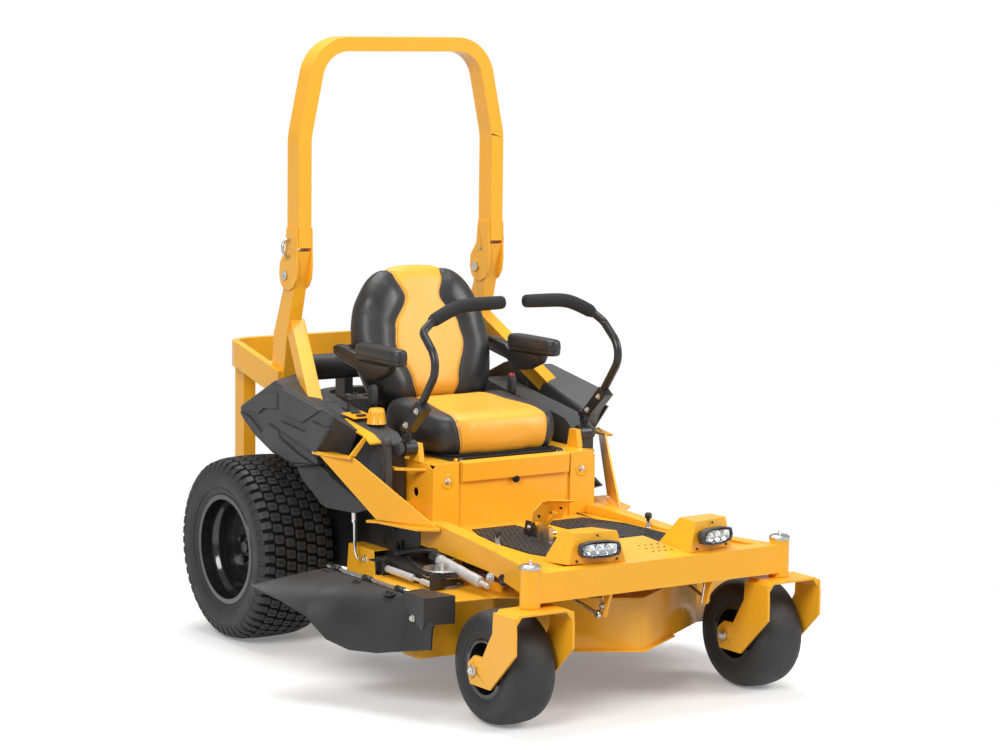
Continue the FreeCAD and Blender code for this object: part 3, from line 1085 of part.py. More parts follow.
def belt(wheels, inner, outer, half_thick, z):
    """A vee belt round pulleys given in order, clockwise from above, as centres in X and Y."""
    def loop(radius):
        edges, marks = [], []
        for n, (x, y) in enumerate(wheels):
            after = wheels[(n + 1) % len(wheels)]
            run = V(after[0] - x, after[1] - y, 0).normalize()
            out = V(-run.y, run.x, 0) * radius
            marks.append((V(x, y, z) + out, V(after[0], after[1], z) + out))
        for n, (start, end) in enumerate(marks):
            edges.append(Part.LineSegment(start, end).toShape())
            x, y = wheels[(n + 1) % len(wheels)]
            begin = marks[(n + 1) % len(marks)][0]
            middle = (end - V(x, y, z)) + (begin - V(x, y, z))
            middle = V(x, y, z) + middle.normalize() * radius
            edges.append(Part.Arc(end, middle, begin).toShape())
        return Part.Face(Part.Wire(edges))
    band = loop(outer).extrude(V(0, 0, 2 * half_thick)).translated(V(0, 0, -half_thick))
    return band.cut(loop(inner).extrude(V(0, 0, 2 * half_thick + 2)).translated(V(0, 0, -half_thick - 1)))


deck_wheels = [(SPINDLE_X, SPINDLE_Y), (0, CENTRE_SPINDLE_Y), (-SPINDLE_X, SPINDLE_Y), (0, engine_y)]
keep("deck_belt", belt(deck_wheels, 54.5, 60.5, 3, pulley_z + 12))

# ---------------------------------------------------------------- seat
pan_front = SEAT_PIVOT_Y + 12
seat_pan = block(-215, 215, pan_front, -325, TOWER_TOP, TOWER_TOP + SEAT_PLATE)
for side in (LEFT, RIGHT):
    # a knuckle that turns on the tower's pin
    x0, x1 = side * (TOWER_INNER - 2), side * (TOWER_INNER - 20)
    knuckle = rod((x0, SEAT_PIVOT_Y, SEAT_PIVOT_Z), (x1, SEAT_PIVOT_Y, SEAT_PIVOT_Z), 8)
    knuckle = knuckle.fuse(block(x0, x1, SEAT_PIVOT_Y, pan_front, TOWER_TOP, TOWER_TOP + SEAT_PLATE))
    knuckle = knuckle.cut(rod((x0 + side, SEAT_PIVOT_Y, SEAT_PIVOT_Z),
                              (x1 - side * 4, SEAT_PIVOT_Y, SEAT_PIVOT_Z),
                              SEAT_PIN_RADIUS + RUNNING_FIT))
    seat_pan = seat_pan.fuse(knuckle)
keep("seat_pan", seat_pan.removeSplitter())
frame_top = TOWER_TOP + 2 * SEAT_PLATE


def back_line(z, offset):
    """Y of a line that leans with the seat's back, an offset behind the cushion's face of the back."""
    return BACK_FOOT_Y + (z - BACK_FOOT) * BACK_SLOPE + offset


shell_low, shell_high, shell_front = 690.0, 1130.0, BACK_THICK + 12
shell_back = shell_front + 12
shell = side_plate([(back_line(shell_low, shell_front), shell_low),
                    (back_line(shell_high, shell_front), shell_high),
                    (back_line(shell_high, shell_back), shell_high),
                    (back_line(shell_low, shell_back), shell_low)],
                   -SEAT_HALF + 40, 2 * SEAT_HALF - 80)
base_rear = back_line(shell_low, shell_back) + 10
seat_base = block(-215, 215, SEAT_FRONT_Y + 12, base_rear, TOWER_TOP + SEAT_PLATE, frame_top)
seat_link = side_plate([(base_rear - 40, frame_top), (base_rear, frame_top),
                        (back_line(shell_low + 40, shell_back) + 6, shell_low + 40),
                        (back_line(shell_low + 40, shell_back) - 12, shell_low + 40)], -190, 380)
seat_frame = seat_base.fuse(shell).fuse(seat_link)
pivot_y = back_line(ARMREST_Z, BACK_THICK - 8)
for side in (LEFT, RIGHT):
    ear_in, ear_out = side * (SEAT_HALF - 55), side * (SEAT_HALF + 6)
    ear = block(ear_in, ear_out, pivot_y - 8, pivot_y + 10, ARMREST_Z - 26, ARMREST_Z + 14)
    tab = block(ear_in, side * (SEAT_HALF - 42), pivot_y - 8, back_line(ARMREST_Z, shell_back),
                ARMREST_Z - 26, ARMREST_Z + 14)
    stub = rod((ear_out, pivot_y, ARMREST_Z), (side * (ARMREST_X + 6), pivot_y, ARMREST_Z), 8)
    seat_frame = seat_frame.fuse(ear).fuse(tab).fuse(stub)
seat_frame = seat_frame.removeSplitter()
keep("seat_frame", seat_frame)

cushion = block(-SEAT_HALF, SEAT_HALF, SEAT_FRONT_Y, back_line(SEAT_TOP, 20), SEAT_FOOT, SEAT_TOP)
cushion = softened(cushion, 60, lambda e: along(e, Z_AXIS))
cushion = softened(cushion, 14, lambda e: e.BoundBox.ZMin > SEAT_TOP - 1)
keep("seat_cushion", cushion.cut(seat_frame))

# the back's pad, thinner towards its top, within a rounded outline
back_side = side_plate([(back_line(BACK_FOOT, 0), BACK_FOOT), (back_line(BACK_TOP - 30, 0), BACK_TOP - 30),
                        (back_line(BACK_TOP, 24), BACK_TOP), (back_line(BACK_TOP, 60), BACK_TOP),
                        (back_line(BACK_TOP - 50, BACK_THICK), BACK_TOP - 50),
                        (back_line(BACK_FOOT, BACK_THICK), BACK_FOOT)],
                       -300, 600)
waist, brow = SEAT_HALF - 28, SEAT_HALF * 0.39
back_outline = [(waist, BACK_FOOT), (SEAT_HALF + 4, 880), (SEAT_HALF + 4, 1010), (SEAT_HALF - 18, 1090),
                (SEAT_HALF * 0.7, 1152), (brow, BACK_TOP)]
back_front = flat([(x, -600, z) for x, z in back_outline]
                  + [(-x, -600, z) for x, z in reversed(back_outline)], (0, 900, 0))
keep("seat_back", back_side.common(back_front).cut(seat_frame).removeSplitter())

for side, word in ((LEFT, "left"), (RIGHT, "right")):
    x0, x1 = side * (ARMREST_X - 31), side * (ARMREST_X + 31)
    pad_back = pivot_y - 18
    rest_pad = side_plate([(-546, 914), (-555, 936), (-540, 966), (pad_back, 964), (pad_back, 912)], x0,
                          x1 - x0)
    rest_pad = softened(rest_pad, 12, lambda e: not along(e, X_AXIS) and e.BoundBox.ZMin > 925)
    bracket_arm = side_plate([(pad_back - 200, 911.7), (pad_back - 120, 884), (pivot_y - 24, 880),
                              (pivot_y + 4, 908),
                              (pivot_y + 16, 928), (pivot_y + 16, 946), (pivot_y + 2, 952),
                              (pad_back + SEAT_GAP, 952),
                              (pad_back + SEAT_GAP, 911.7)], side * (ARMREST_X - 20), side * 40)
    bracket_arm = bracket_arm.cut(rod((side * 250, pivot_y, ARMREST_Z),
                                      (side * (ARMREST_X + 6.5), pivot_y, ARMREST_Z),
                                      8 + RUNNING_FIT))
    keep("armrest_" + word, rest_pad, bracket_arm)

# ---------------------------------------------------------------- drive levers
swing_z = 716.0
hub_radius = 24.0
for side, word in ((LEFT, "left"), (RIGHT, "right")):
    x_in, x_out = side * 304.0, side * 344.0
    hub = rod((x_in, LEVER_PIVOT_Y, LEVER_PIVOT_Z), (x_out, LEVER_PIVOT_Y, LEVER_PIVOT_Z), hub_radius)
    tongue = block(side * 318, side * 342, LEVER_PIVOT_Y - 5, LEVER_PIVOT_Y + 5, LEVER_PIVOT_Z, swing_z)
    tongue = tongue.fuse(rod((side * LEVER_X, LEVER_PIVOT_Y - 5, swing_z),
                             (side * LEVER_X, LEVER_PIVOT_Y + 5, swing_z), 12))
    hub = hub.fuse(tongue)
    hub = hub.cut(rod((side * 300, LEVER_PIVOT_Y, LEVER_PIVOT_Z),
                      (side * 350, LEVER_PIVOT_Y, LEVER_PIVOT_Z), 9 + RUNNING_FIT))
    swing_pin = rod((side * LEVER_X, LEVER_PIVOT_Y - 16, swing_z),
                    (side * LEVER_X, LEVER_PIVOT_Y + 16, swing_z), 5)
    hub = hub.fuse(swing_pin).removeSplitter()
    keep("lever_hub_" + word, hub)
    # bearing post on the tower's shelf, with the stub that the hub turns on
    post = side_plate([(LEVER_PIVOT_Y - 30, TOWER_TOP), (LEVER_PIVOT_Y + 30, TOWER_TOP),
                       (LEVER_PIVOT_Y + 18, LEVER_PIVOT_Z + 14),
                       (LEVER_PIVOT_Y - 18, LEVER_PIVOT_Z + 14)], side * 285, side * 18.5)
    stub = rod((side * 303, LEVER_PIVOT_Y, LEVER_PIVOT_Z), (side * 346, LEVER_PIVOT_Y, LEVER_PIVOT_Z), 9)
    tower_fittings.append(post.fuse(stub))

    clevis = None
    for y0 in (LEVER_PIVOT_Y - 11.5, LEVER_PIVOT_Y + 5.5):
        cheek = block(side * 320, side * 340, y0, y0 + 6, swing_z, swing_z + 30)
        cheek = cheek.fuse(rod((side * LEVER_X, y0, swing_z), (side * LEVER_X, y0 + 6, swing_z), 9))
        clevis = cheek if clevis is None else clevis.fuse(cheek)
    clevis = clevis.fuse(block(side * 318, side * 343, LEVER_PIVOT_Y - 18, LEVER_PIVOT_Y + 18, swing_z + 18,
                               swing_z + 34))
    clevis = clevis.cut(rod((side * LEVER_X, LEVER_PIVOT_Y - 20, swing_z),
                            (side * LEVER_X, LEVER_PIVOT_Y + 20, swing_z), 5 + RUNNING_FIT))
    # a channel bracket leans forward from the clevis and holds the tube with two bolts
    channel = side_plate([(-672, 734), (-640, 752), (-728, 838), (-762, 814)], side * 320, side * 32)
    tube_path = route([(side * 336, -690, 772), (side * 337, -829, 957), (side * 334, -728, 1043),
                       (side * 288, -720, 1079),
                       (side * 190, -720, 1116), (side * 43, -721, 1119)], (70, 26, 16, 60))
    tube = swept(tube_path, round_section((side * 336, -690, 772),
                                          tuple(V(*tube_path.Vertexes[1].Point) - V(side * 336, -690, 772)),
                                          LEVER_TUBE_RADIUS))
    lever = clevis.fuse(channel).fuse(tube).removeSplitter()
    grip_path = route([(side * 280, -720, 1082), (side * 190, -720, 1116), (side * 41, -721, 1119)], (60,))
    grip = swept(grip_path, round_section((side * 280, -720, 1082), (side * -90, 0, 34), GRIP_RADIUS))
    keep("drive_lever_" + word, lever, grip.cut(tube))

# ---------------------------------------------------------------- hand controls on the right console
knob_x, knob_y, knob_z = -340.0, -488.0, 738.0
console_right = consoles[1]
flutes = 8
corners = []
for n in range(2 * flutes):
    radius = 22.0 if n % 2 else 18.5
    corners.append((knob_x + radius * math.cos(math.pi * n / flutes),
                    knob_y + radius * math.sin(math.pi * n / flutes)))
knob = plan_plate(corners, knob_z,
                  46).fuse(rod((knob_x, knob_y, 700), (knob_x, knob_y, knob_z + 1), 6)).removeSplitter()
keep("pto_knob", knob)
console_right = console_right.cut(rod((knob_x, knob_y, 690), (knob_x, knob_y, 800), 6 + RUNNING_FIT))
console_right = console_right.cut(rod((knob_x, knob_y, knob_z - 0.5), (knob_x, knob_y, 800), 26))

lever_x, lever_y, lever_z = -350.0, -330.0, 742.0
console_right = console_right.cut(block(lever_x - 5, lever_x + 5, lever_y - 48, lever_y + 48, lever_z - 30,
                                        820))
throttle = side_plate([(lever_y - 8, lever_z - 12), (lever_y + 8, lever_z - 12), (lever_y + 6, 792),
                       (lever_y - 6, 792)],
                      lever_x - 3, 6)
throttle = throttle.fuse(softened(block(lever_x - 9, lever_x + 9, lever_y - 14, lever_y + 14, 790, 812), 5))
throttle = throttle.cut(rod((lever_x - 9, lever_y, lever_z), (lever_x + 9, lever_y, lever_z),
                            3 + RUNNING_FIT)).removeSplitter()
console_right = console_right.fuse(rod((lever_x - 8, lever_y, lever_z), (lever_x + 8, lever_y, lever_z),
                                       3)).removeSplitter()
keep("throttle_lever", throttle)
keep("consoles", consoles[0], console_right)

brake_x, brake_y, brake_z = -392.0, -626.0, 500.0
column = Part.makeLoft([
    Part.makePolygon([V(brake_x + a * w, brake_y + b * d, z) for a,
                      b in ((-1, -1), (1, -1), (1, 1), (-1, 1), (-1, -1))])
    for w, d, z in ((17, 16, brake_z - 16), (11, 10, 690))], True, True)
ball = Part.makeSphere(15, V(brake_x, brake_y, 700))
brake = column.fuse(ball).cut(rod((brake_x - 30, brake_y, brake_z), (brake_x + 30, brake_y, brake_z),
                                  7 + RUNNING_FIT))
keep("brake_lever", brake.removeSplitter())
brake_pin = rod((-RAIL_OUT_REAR, brake_y, brake_z), (brake_x - 20, brake_y, brake_z), 7)
brake_ear = block(-RAIL_OUT_REAR + 21, -RAIL_OUT_REAR - 12, brake_y - 14, brake_y + 14, RAIL_TOP,
                  brake_z + 16)
brake_stand = cut_from(joined(brake_pin, brake_ear), [tower])
keep("frame", *welded(*frame_members, *hangings, brake_stand))
keep("seat_tower", *welded(tower.removeSplitter(), *tower_fittings))
keep("fasteners", *caster_caps, *tower_bolts, *hinge_pins, pivot_block)

os.makedirs("parts", exist_ok=True)
for name, solids in pieces.items():
    shape = solids[0] if len(solids) == 1 else Part.makeCompound(solids)
    shape.exportStep("parts/" + name + ".step")
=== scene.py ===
import math

import bmesh
import bpy
import numpy as np
from mathutils import Matrix, Vector


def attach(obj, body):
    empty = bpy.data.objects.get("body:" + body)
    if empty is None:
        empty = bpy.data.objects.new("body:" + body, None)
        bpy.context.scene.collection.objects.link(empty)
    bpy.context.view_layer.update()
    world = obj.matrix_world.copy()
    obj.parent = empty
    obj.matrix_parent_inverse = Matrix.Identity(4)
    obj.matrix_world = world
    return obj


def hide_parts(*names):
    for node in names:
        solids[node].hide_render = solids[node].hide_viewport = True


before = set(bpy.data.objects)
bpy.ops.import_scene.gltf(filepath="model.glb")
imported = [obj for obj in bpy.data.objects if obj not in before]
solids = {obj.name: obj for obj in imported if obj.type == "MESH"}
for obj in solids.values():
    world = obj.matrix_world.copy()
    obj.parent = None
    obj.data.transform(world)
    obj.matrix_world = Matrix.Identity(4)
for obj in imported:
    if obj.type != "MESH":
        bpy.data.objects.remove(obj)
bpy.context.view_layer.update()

# ------------------------------------------------------------------ studio
# A pale floor in a white room, a large soft lamp on each side and one overhead, and the camera low at the
# mower's right front corner with a long lens, as in a catalogue picture.
scene = bpy.context.scene
scene.view_settings.view_transform = "Standard"

AZIMUTH, ELEVATION, ROLL = map(math.radians, (-34.044, 7.295, 0.703))
back = Vector((math.sin(AZIMUTH) * math.cos(ELEVATION), -math.cos(AZIMUTH) * math.cos(ELEVATION),
               math.sin(ELEVATION)))
right = Vector((math.cos(AZIMUTH), math.sin(AZIMUTH), 0))
up = back.cross(right)
right, up = (right * math.cos(ROLL) + up * math.sin(ROLL), up * math.cos(ROLL) - right * math.sin(ROLL))
lens = bpy.data.cameras.new("camera")
lens.lens, lens.sensor_width, lens.clip_start, lens.clip_end = 102.0, 36.0, 0.1, 100.0
camera = bpy.data.objects.new("camera", lens)
scene.collection.objects.link(camera)
stand = Matrix((right, up, back)).transposed().to_4x4()
stand.translation = (-4.7232, -7.2750, 1.994)
camera.matrix_world = stand
scene.camera = camera


def seen_directly(nodes, links):
    """1 for camera, glossy and transmission rays, 0 for the rays that light the object."""
    path = nodes.new("ShaderNodeLightPath")
    first = nodes.new("ShaderNodeMath")
    first.operation = "MAXIMUM"
    links.new(path.outputs["Is Camera Ray"], first.inputs[0])
    links.new(path.outputs["Is Glossy Ray"], first.inputs[1])
    second = nodes.new("ShaderNodeMath")
    second.operation = "MAXIMUM"
    links.new(first.outputs[0], second.inputs[0])
    links.new(path.outputs["Is Transmission Ray"], second.inputs[1])
    return second.outputs[0]


world = bpy.data.worlds.new("white_room")
scene.world = world
world.use_nodes = True
tree = world.node_tree
tree.nodes.clear()
room_light = tree.nodes.new("ShaderNodeBackground")
room_light.inputs["Color"].default_value = (1, 1, 1, 1)
room_light.inputs["Strength"].default_value = 0.42
room_seen = tree.nodes.new("ShaderNodeBackground")
room_seen.inputs["Color"].default_value = (1, 1, 1, 1)
room_seen.inputs["Strength"].default_value = 1.0
mix = tree.nodes.new("ShaderNodeMixShader")
out = tree.nodes.new("ShaderNodeOutputWorld")
path = tree.nodes.new("ShaderNodeLightPath")
tree.links.new(path.outputs["Is Camera Ray"], mix.inputs[0])
tree.links.new(room_light.outputs[0], mix.inputs[1])
tree.links.new(room_seen.outputs[0], mix.inputs[2])
tree.links.new(mix.outputs[0], out.inputs["Surface"])

floor_mesh = bpy.data.meshes.new("floor")
floor_mesh.from_pydata([(-30, -30, 0), (30, -30, 0), (30, 30, 0), (-30, 30, 0)], [], [(0, 1, 2, 3)])
floor = bpy.data.objects.new("floor", floor_mesh)
scene.collection.objects.link(floor)
floor_paint = bpy.data.materials.new("floor_paint")
floor_paint.use_nodes = True
tree = floor_paint.node_tree
tree.nodes.clear()
matt = tree.nodes.new("ShaderNodeBsdfDiffuse")
matt.inputs["Color"].default_value = (0.80, 0.80, 0.80, 1)
glow = tree.nodes.new("ShaderNodeEmission")
glow.inputs["Color"].default_value = (1, 1, 1, 1)
glow.inputs["Strength"].default_value = 0.20
both = tree.nodes.new("ShaderNodeAddShader")
tree.links.new(matt.outputs[0], both.inputs[0])
tree.links.new(glow.outputs[0], both.inputs[1])
# away from the mower the floor turns to plain white paper
white = tree.nodes.new("ShaderNodeEmission")
white.inputs["Color"].default_value = (1, 1, 1, 1)
white.inputs["Strength"].default_value = 1.0
place = tree.nodes.new("ShaderNodeTexCoord")
reach = tree.nodes.new("ShaderNodeVectorMath")
reach.operation = "LENGTH"
away = tree.nodes.new("ShaderNodeMapRange")
away.interpolation_type = "SMOOTHSTEP"
away.inputs["From Min"].default_value, away.inputs["From Max"].default_value = 0.9, 2.3
paper = tree.nodes.new("ShaderNodeMixShader")
tree.links.new(place.outputs["Object"], reach.inputs[0])
tree.links.new(reach.outputs["Value"], away.inputs["Value"])
tree.links.new(away.outputs["Result"], paper.inputs[0])
tree.links.new(both.outputs[0], paper.inputs[1])
tree.links.new(white.outputs[0], paper.inputs[2])
pick = tree.nodes.new("ShaderNodeMixShader")
out = tree.nodes.new("ShaderNodeOutputMaterial")
tree.links.new(seen_directly(tree.nodes, tree.links), pick.inputs[0])
# the light it sends back up is that of a grey studio floor
grey = tree.nodes.new("ShaderNodeBsdfDiffuse")
grey.inputs["Color"].default_value = (0.38, 0.38, 0.38, 1)
tree.links.new(grey.outputs[0], pick.inputs[1])
tree.links.new(paper.outputs[0], pick.inputs[2])
tree.links.new(pick.outputs[0], out.inputs["Surface"])
floor_mesh.materials.append(floor_paint)


def soft_lamp(name, place, aim, size, power):
    """A round lamp of some width that shines from a place towards a point."""
    data = bpy.data.lights.new(name, "AREA")
    data.shape, data.size, data.energy = "DISK", size, power
    lamp = bpy.data.objects.new(name, data)
    scene.collection.objects.link(lamp)
    lamp.location = place
    lamp.rotation_mode = "QUATERNION"
    lamp.rotation_quaternion = (Vector(place) - Vector(aim)).to_track_quat("Z", "Y")


soft_lamp("lamp_left", (-5.2, -3.6, 4.6), (0, 0, 0.7), 3.4, 330)
soft_lamp("lamp_right", (4.8, -4.4, 4.2), (0, 0, 0.8), 3.6, 260)
soft_lamp("lamp_top", (0.4, 1.2, 5.6), (0, 0, 0.6), 4.0, 260)


# ------------------------------------------------------------------ yellow powder coat
# Frame, seat tower, roll bar, forks, deck and braces are bent and welded steel plate under one thick golden
# yellow powder coat: glossy, faintly uneven like orange peel, with every cut edge rounded by it. The other
# CAD nodes that stay in the picture get their finishes here too.
def uneven_group():
    """Broad patches of a second tone, a fine grain for bump and a roughness that follows both."""
    group = bpy.data.node_groups.new("uneven_surface", "ShaderNodeTree")
    face = group.interface
    face.new_socket("Vector", in_out="INPUT", socket_type="NodeSocketVector")
    face.new_socket("Tone", in_out="INPUT", socket_type="NodeSocketColor")
    face.new_socket("Second Tone", in_out="INPUT", socket_type="NodeSocketColor")
    for name, value in (("Patch Scale", 6.0), ("Patch Amount", 0.5), ("Grain Scale", 600.0),
                        ("Rough Low", 0.3), ("Rough High", 0.45)):
        face.new_socket(name, in_out="INPUT", socket_type="NodeSocketFloat").default_value = value
    face.new_socket("Color", in_out="OUTPUT", socket_type="NodeSocketColor")
    face.new_socket("Roughness", in_out="OUTPUT", socket_type="NodeSocketFloat")
    face.new_socket("Height", in_out="OUTPUT", socket_type="NodeSocketFloat")
    nodes, links = group.nodes, group.links
    given = nodes.new("NodeGroupInput")
    result = nodes.new("NodeGroupOutput")
    patches = nodes.new("ShaderNodeTexNoise")
    patches.inputs["Detail"].default_value = 5
    grain = nodes.new("ShaderNodeTexNoise")
    grain.inputs["Detail"].default_value = 3
    spread = nodes.new("ShaderNodeMapRange")
    spread.inputs["From Min"].default_value, spread.inputs["From Max"].default_value = 0.35, 0.65
    share = nodes.new("ShaderNodeMath")
    share.operation = "MULTIPLY"
    blend = nodes.new("ShaderNodeMix")
    blend.data_type = "RGBA"
    rough = nodes.new("ShaderNodeMapRange")
    links.new(given.outputs["Vector"], patches.inputs["Vector"])
    links.new(given.outputs["Vector"], grain.inputs["Vector"])
    links.new(given.outputs["Patch Scale"], patches.inputs["Scale"])
    links.new(given.outputs["Grain Scale"], grain.inputs["Scale"])
    links.new(patches.outputs["Fac"], spread.inputs["Value"])
    links.new(spread.outputs["Result"], share.inputs[0])
    links.new(given.outputs["Patch Amount"], share.inputs[1])
    links.new(share.outputs[0], blend.inputs["Factor"])
    links.new(given.outputs["Tone"], blend.inputs["A"])
    links.new(given.outputs["Second Tone"], blend.inputs["B"])
    links.new(spread.outputs["Result"], rough.inputs["Value"])
    links.new(given.outputs["Rough Low"], rough.inputs["To Min"])
    links.new(given.outputs["Rough High"], rough.inputs["To Max"])
    links.new(blend.outputs["Result"], result.inputs["Color"])
    links.new(rough.outputs["Result"], result.inputs["Roughness"])
    links.new(grain.outputs["Fac"], result.inputs["Height"])
    return group


uneven_surface = uneven_group()


def finish_of(name, tone, second, rough, patch=(6.0, 0.5), grain=(600.0, 0.05), metallic=0.0, coat=0.0,
              coat_rough=0.1, specular=0.5, depth=0.001):
    """A material whose tone, roughness and bump all come from the uneven surface group."""
    made = bpy.data.materials.new(name)
    made.use_nodes = True
    nodes, links = made.node_tree.nodes, made.node_tree.links
    skin = nodes["Principled BSDF"]
    place = nodes.new("ShaderNodeTexCoord")
    group = nodes.new("ShaderNodeGroup")
    group.node_tree = uneven_surface
    group.inputs["Tone"].default_value = (*tone, 1)
    group.inputs["Second Tone"].default_value = (*second, 1)
    group.inputs["Patch Scale"].default_value, group.inputs["Patch Amount"].default_value = patch
    group.inputs["Grain Scale"].default_value = grain[0]
    group.inputs["Rough Low"].default_value, group.inputs["Rough High"].default_value = rough
    bump = nodes.new("ShaderNodeBump")
    bump.name = "Bump"
    bump.inputs["Strength"].default_value = grain[1]
    bump.inputs["Distance"].default_value = depth
    links.new(place.outputs["Object"], group.inputs["Vector"])
    links.new(group.outputs["Color"], skin.inputs["Base Color"])
    links.new(group.outputs["Roughness"], skin.inputs["Roughness"])
    links.new(group.outputs["Height"], bump.inputs["Height"])
    links.new(bump.outputs["Normal"], skin.inputs["Normal"])
    skin.inputs["Metallic"].default_value = metallic
    skin.inputs["Coat Weight"].default_value = coat
    skin.inputs["Coat Roughness"].default_value = coat_rough
    skin.inputs["Specular IOR Level"].default_value = specular
    return made


def dress(name, material, edge=0.0012):
    """Give a CAD node its finish and round its cut edges."""
    shown = solids[name]
    shown.data.materials.clear()
    shown.data.materials.append(material)
    for face in shown.data.polygons:
        face.use_smooth, face.material_index = True, 0
    weld = shown.modifiers.new("weld", "WELD")
    weld.merge_threshold = 0.00002
    if edge:
        bevel = shown.modifiers.new("edges", "BEVEL")
        bevel.width, bevel.segments, bevel.limit_method = edge, 2, "ANGLE"
        bevel.angle_limit, bevel.use_clamp_overlap = math.radians(35), False
    tidy = shown.modifiers.new("normals", "WEIGHTED_NORMAL")
    tidy.keep_sharp, tidy.weight = False, 60


yellow = finish_of("golden_powder_coat", (0.95, 0.455, 0.022), (0.92, 0.42, 0.017), rough=(0.26, 0.36),
                   patch=(5.0, 0.35), grain=(420.0, 0.06), coat=0.25, coat_rough=0.14, specular=0.38)
black = finish_of("black_powder_coat", (0.018, 0.018, 0.019), (0.028, 0.028, 0.029), rough=(0.3, 0.42),
                  grain=(500.0, 0.06))
for name in ("frame", "seat_tower", "side_braces", "rops_posts", "rops_hoop", "rear_bumper",
             "caster_fork_left", "caster_fork_right", "deck_shell", "lift_hangers"):
    dress(name, yellow)
for name in ("lift_shaft_rear", "lift_shaft_front", "seat_pan", "lever_hub_left", "lever_hub_right",
             "drive_lever_left", "drive_lever_right"):
    dress(name, black, 0.0008)
zinc = finish_of("zinc_plate", (0.62, 0.62, 0.60), (0.52, 0.51, 0.48), rough=(0.22, 0.38),
                 patch=(60.0, 0.6), grain=(900.0, 0.05), metallic=1.0)
for name in ("lock_pin_left", "lock_pin_right", "spindle_left", "spindle_centre", "spindle_right",
             "clutch_pulley", "fasteners"):
    dress(name, zinc, 0.0004)
plastic = finish_of("moulded_plastic", (0.040, 0.041, 0.043), (0.052, 0.053, 0.055), rough=(0.48, 0.58),
                    patch=(4.0, 0.5), grain=(1400.0, 0.25), depth=0.0006)
for name in ("consoles", "engine_shroud", "air_cleaner", "brake_lever", "throttle_lever", "fuel_tank",
             "anti_scalp_rollers"):
    dress(name, plastic, 0.002)
casting = finish_of("rough_casting", (0.30, 0.30, 0.30), (0.22, 0.22, 0.22), rough=(0.4, 0.6),
                    patch=(30.0, 0.6), grain=(500.0, 0.3), metallic=0.9)
for name in ("engine_block", "muffler", "hydro_drives", "spindle_housings", "blade_left", "blade_centre",
             "blade_right"):
    dress(name, casting, 0.001)
rubber = finish_of("black_rubber", (0.022, 0.022, 0.023), (0.035, 0.035, 0.036), rough=(0.55, 0.72),
                   patch=(14.0, 0.6), grain=(700.0, 0.2))
for name in ("deck_belt", "foot_mats"):
    dress(name, rubber, 0.001)
rim_paint = finish_of("black_rim_paint", (0.012, 0.012, 0.013), (0.02, 0.02, 0.021), rough=(0.12, 0.22),
                      coat=0.4, coat_rough=0.06, grain=(300.0, 0.03))
for name in ("rear_rim_left", "rear_rim_right", "caster_rim_left", "caster_rim_right"):
    dress(name, rim_paint, 0.001)

# ------------------------------------------------------------------ drive tyres
# Wide pneumatic turf tyres of black rubber: a smooth wall that bulges past the rim, and a tread of
# chamfered lugs in staggered rows, each with a shallow slot; the outer lugs run down over the shoulder.
MIDDLE_X, AXLE_Y = 123.75, 549.0  # where the mower's centre plane and rear axle lie in the row frame


def mower(x, y, z):
    """A point from the mower's own lines (centre plane, rear axle, ground; millimetres) in the row frame."""
    return Vector(((x + MIDDLE_X) / 1000, (y + AXLE_Y) / 1000, z / 1000))


def piece(name, points, faces, finish, body, stands_for=(), smooth=True):
    """A mesh piece in the row frame that rides on a CAD body."""
    mesh = bpy.data.meshes.new(name)
    mesh.from_pydata(points, [], faces)
    mesh.validate()
    for face in mesh.polygons:
        face.use_smooth = smooth
    made = bpy.data.objects.new(name, mesh)
    scene.collection.objects.link(made)
    mesh.materials.append(finish)
    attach(made, body)
    if stands_for:
        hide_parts(*stands_for)
    return made


def ring_faces(rings, count, start=0):
    """Faces that join rings of as many points each, numbered one ring after the other from a first point."""
    faces = []
    for ring in range(rings - 1):
        a, b = start + ring * count, start + (ring + 1) * count
        for n in range(count):
            m = (n + 1) % count
            faces.append((a + n, a + m, b + m, b + n))
    return faces


def wheel_points(profile, x, y, z, steps):
    """Points and faces of a closed profile of (offset, radius), turned about a line along X."""
    points, faces = [], []
    count = len(profile)
    for step in range(steps):
        angle = 2 * math.pi * step / steps
        for offset, radius in profile:
            points.append(mower(x + offset, y + radius * math.cos(angle), z + radius * math.sin(angle)))
    for step in range(steps):
        a, b = step * count, (step + 1) % steps * count
        for n in range(count):
            m = (n + 1) % count
            faces.append((a + n, a + m, b + m, b + n))
    return points, faces


def eased(profile, rounds=2):
    """Round off the corners of an open profile by cutting them twice over."""
    for _ in range(rounds):
        eased_one = [profile[0]]
        for (a, b), (c, d) in zip(profile, profile[1:]):
            eased_one += [(a * 0.75 + c * 0.25, b * 0.75 + d * 0.25),
                          (a * 0.25 + c * 0.75, b * 0.25 + d * 0.75)]
        profile = eased_one + [profile[-1]]
    return profile


tyre_rubber = finish_of("tyre_rubber", (0.020, 0.020, 0.021), (0.032, 0.032, 0.033), rough=(0.5, 0.68),
                        patch=(18.0, 0.7), grain=(900.0, 0.15))
# near-black rubber for the carcass between the lugs: painted shade in the grooves
tread_groove_shade = finish_of("tread_groove_shade", (0.005, 0.005, 0.005), (0.009, 0.009, 0.009), rough=(0.7, 0.85),
                          specular=0.15)
REAR_RADIUS, REAR_X, GROOVE_RADIUS = 292.0, 491.0, 268.0
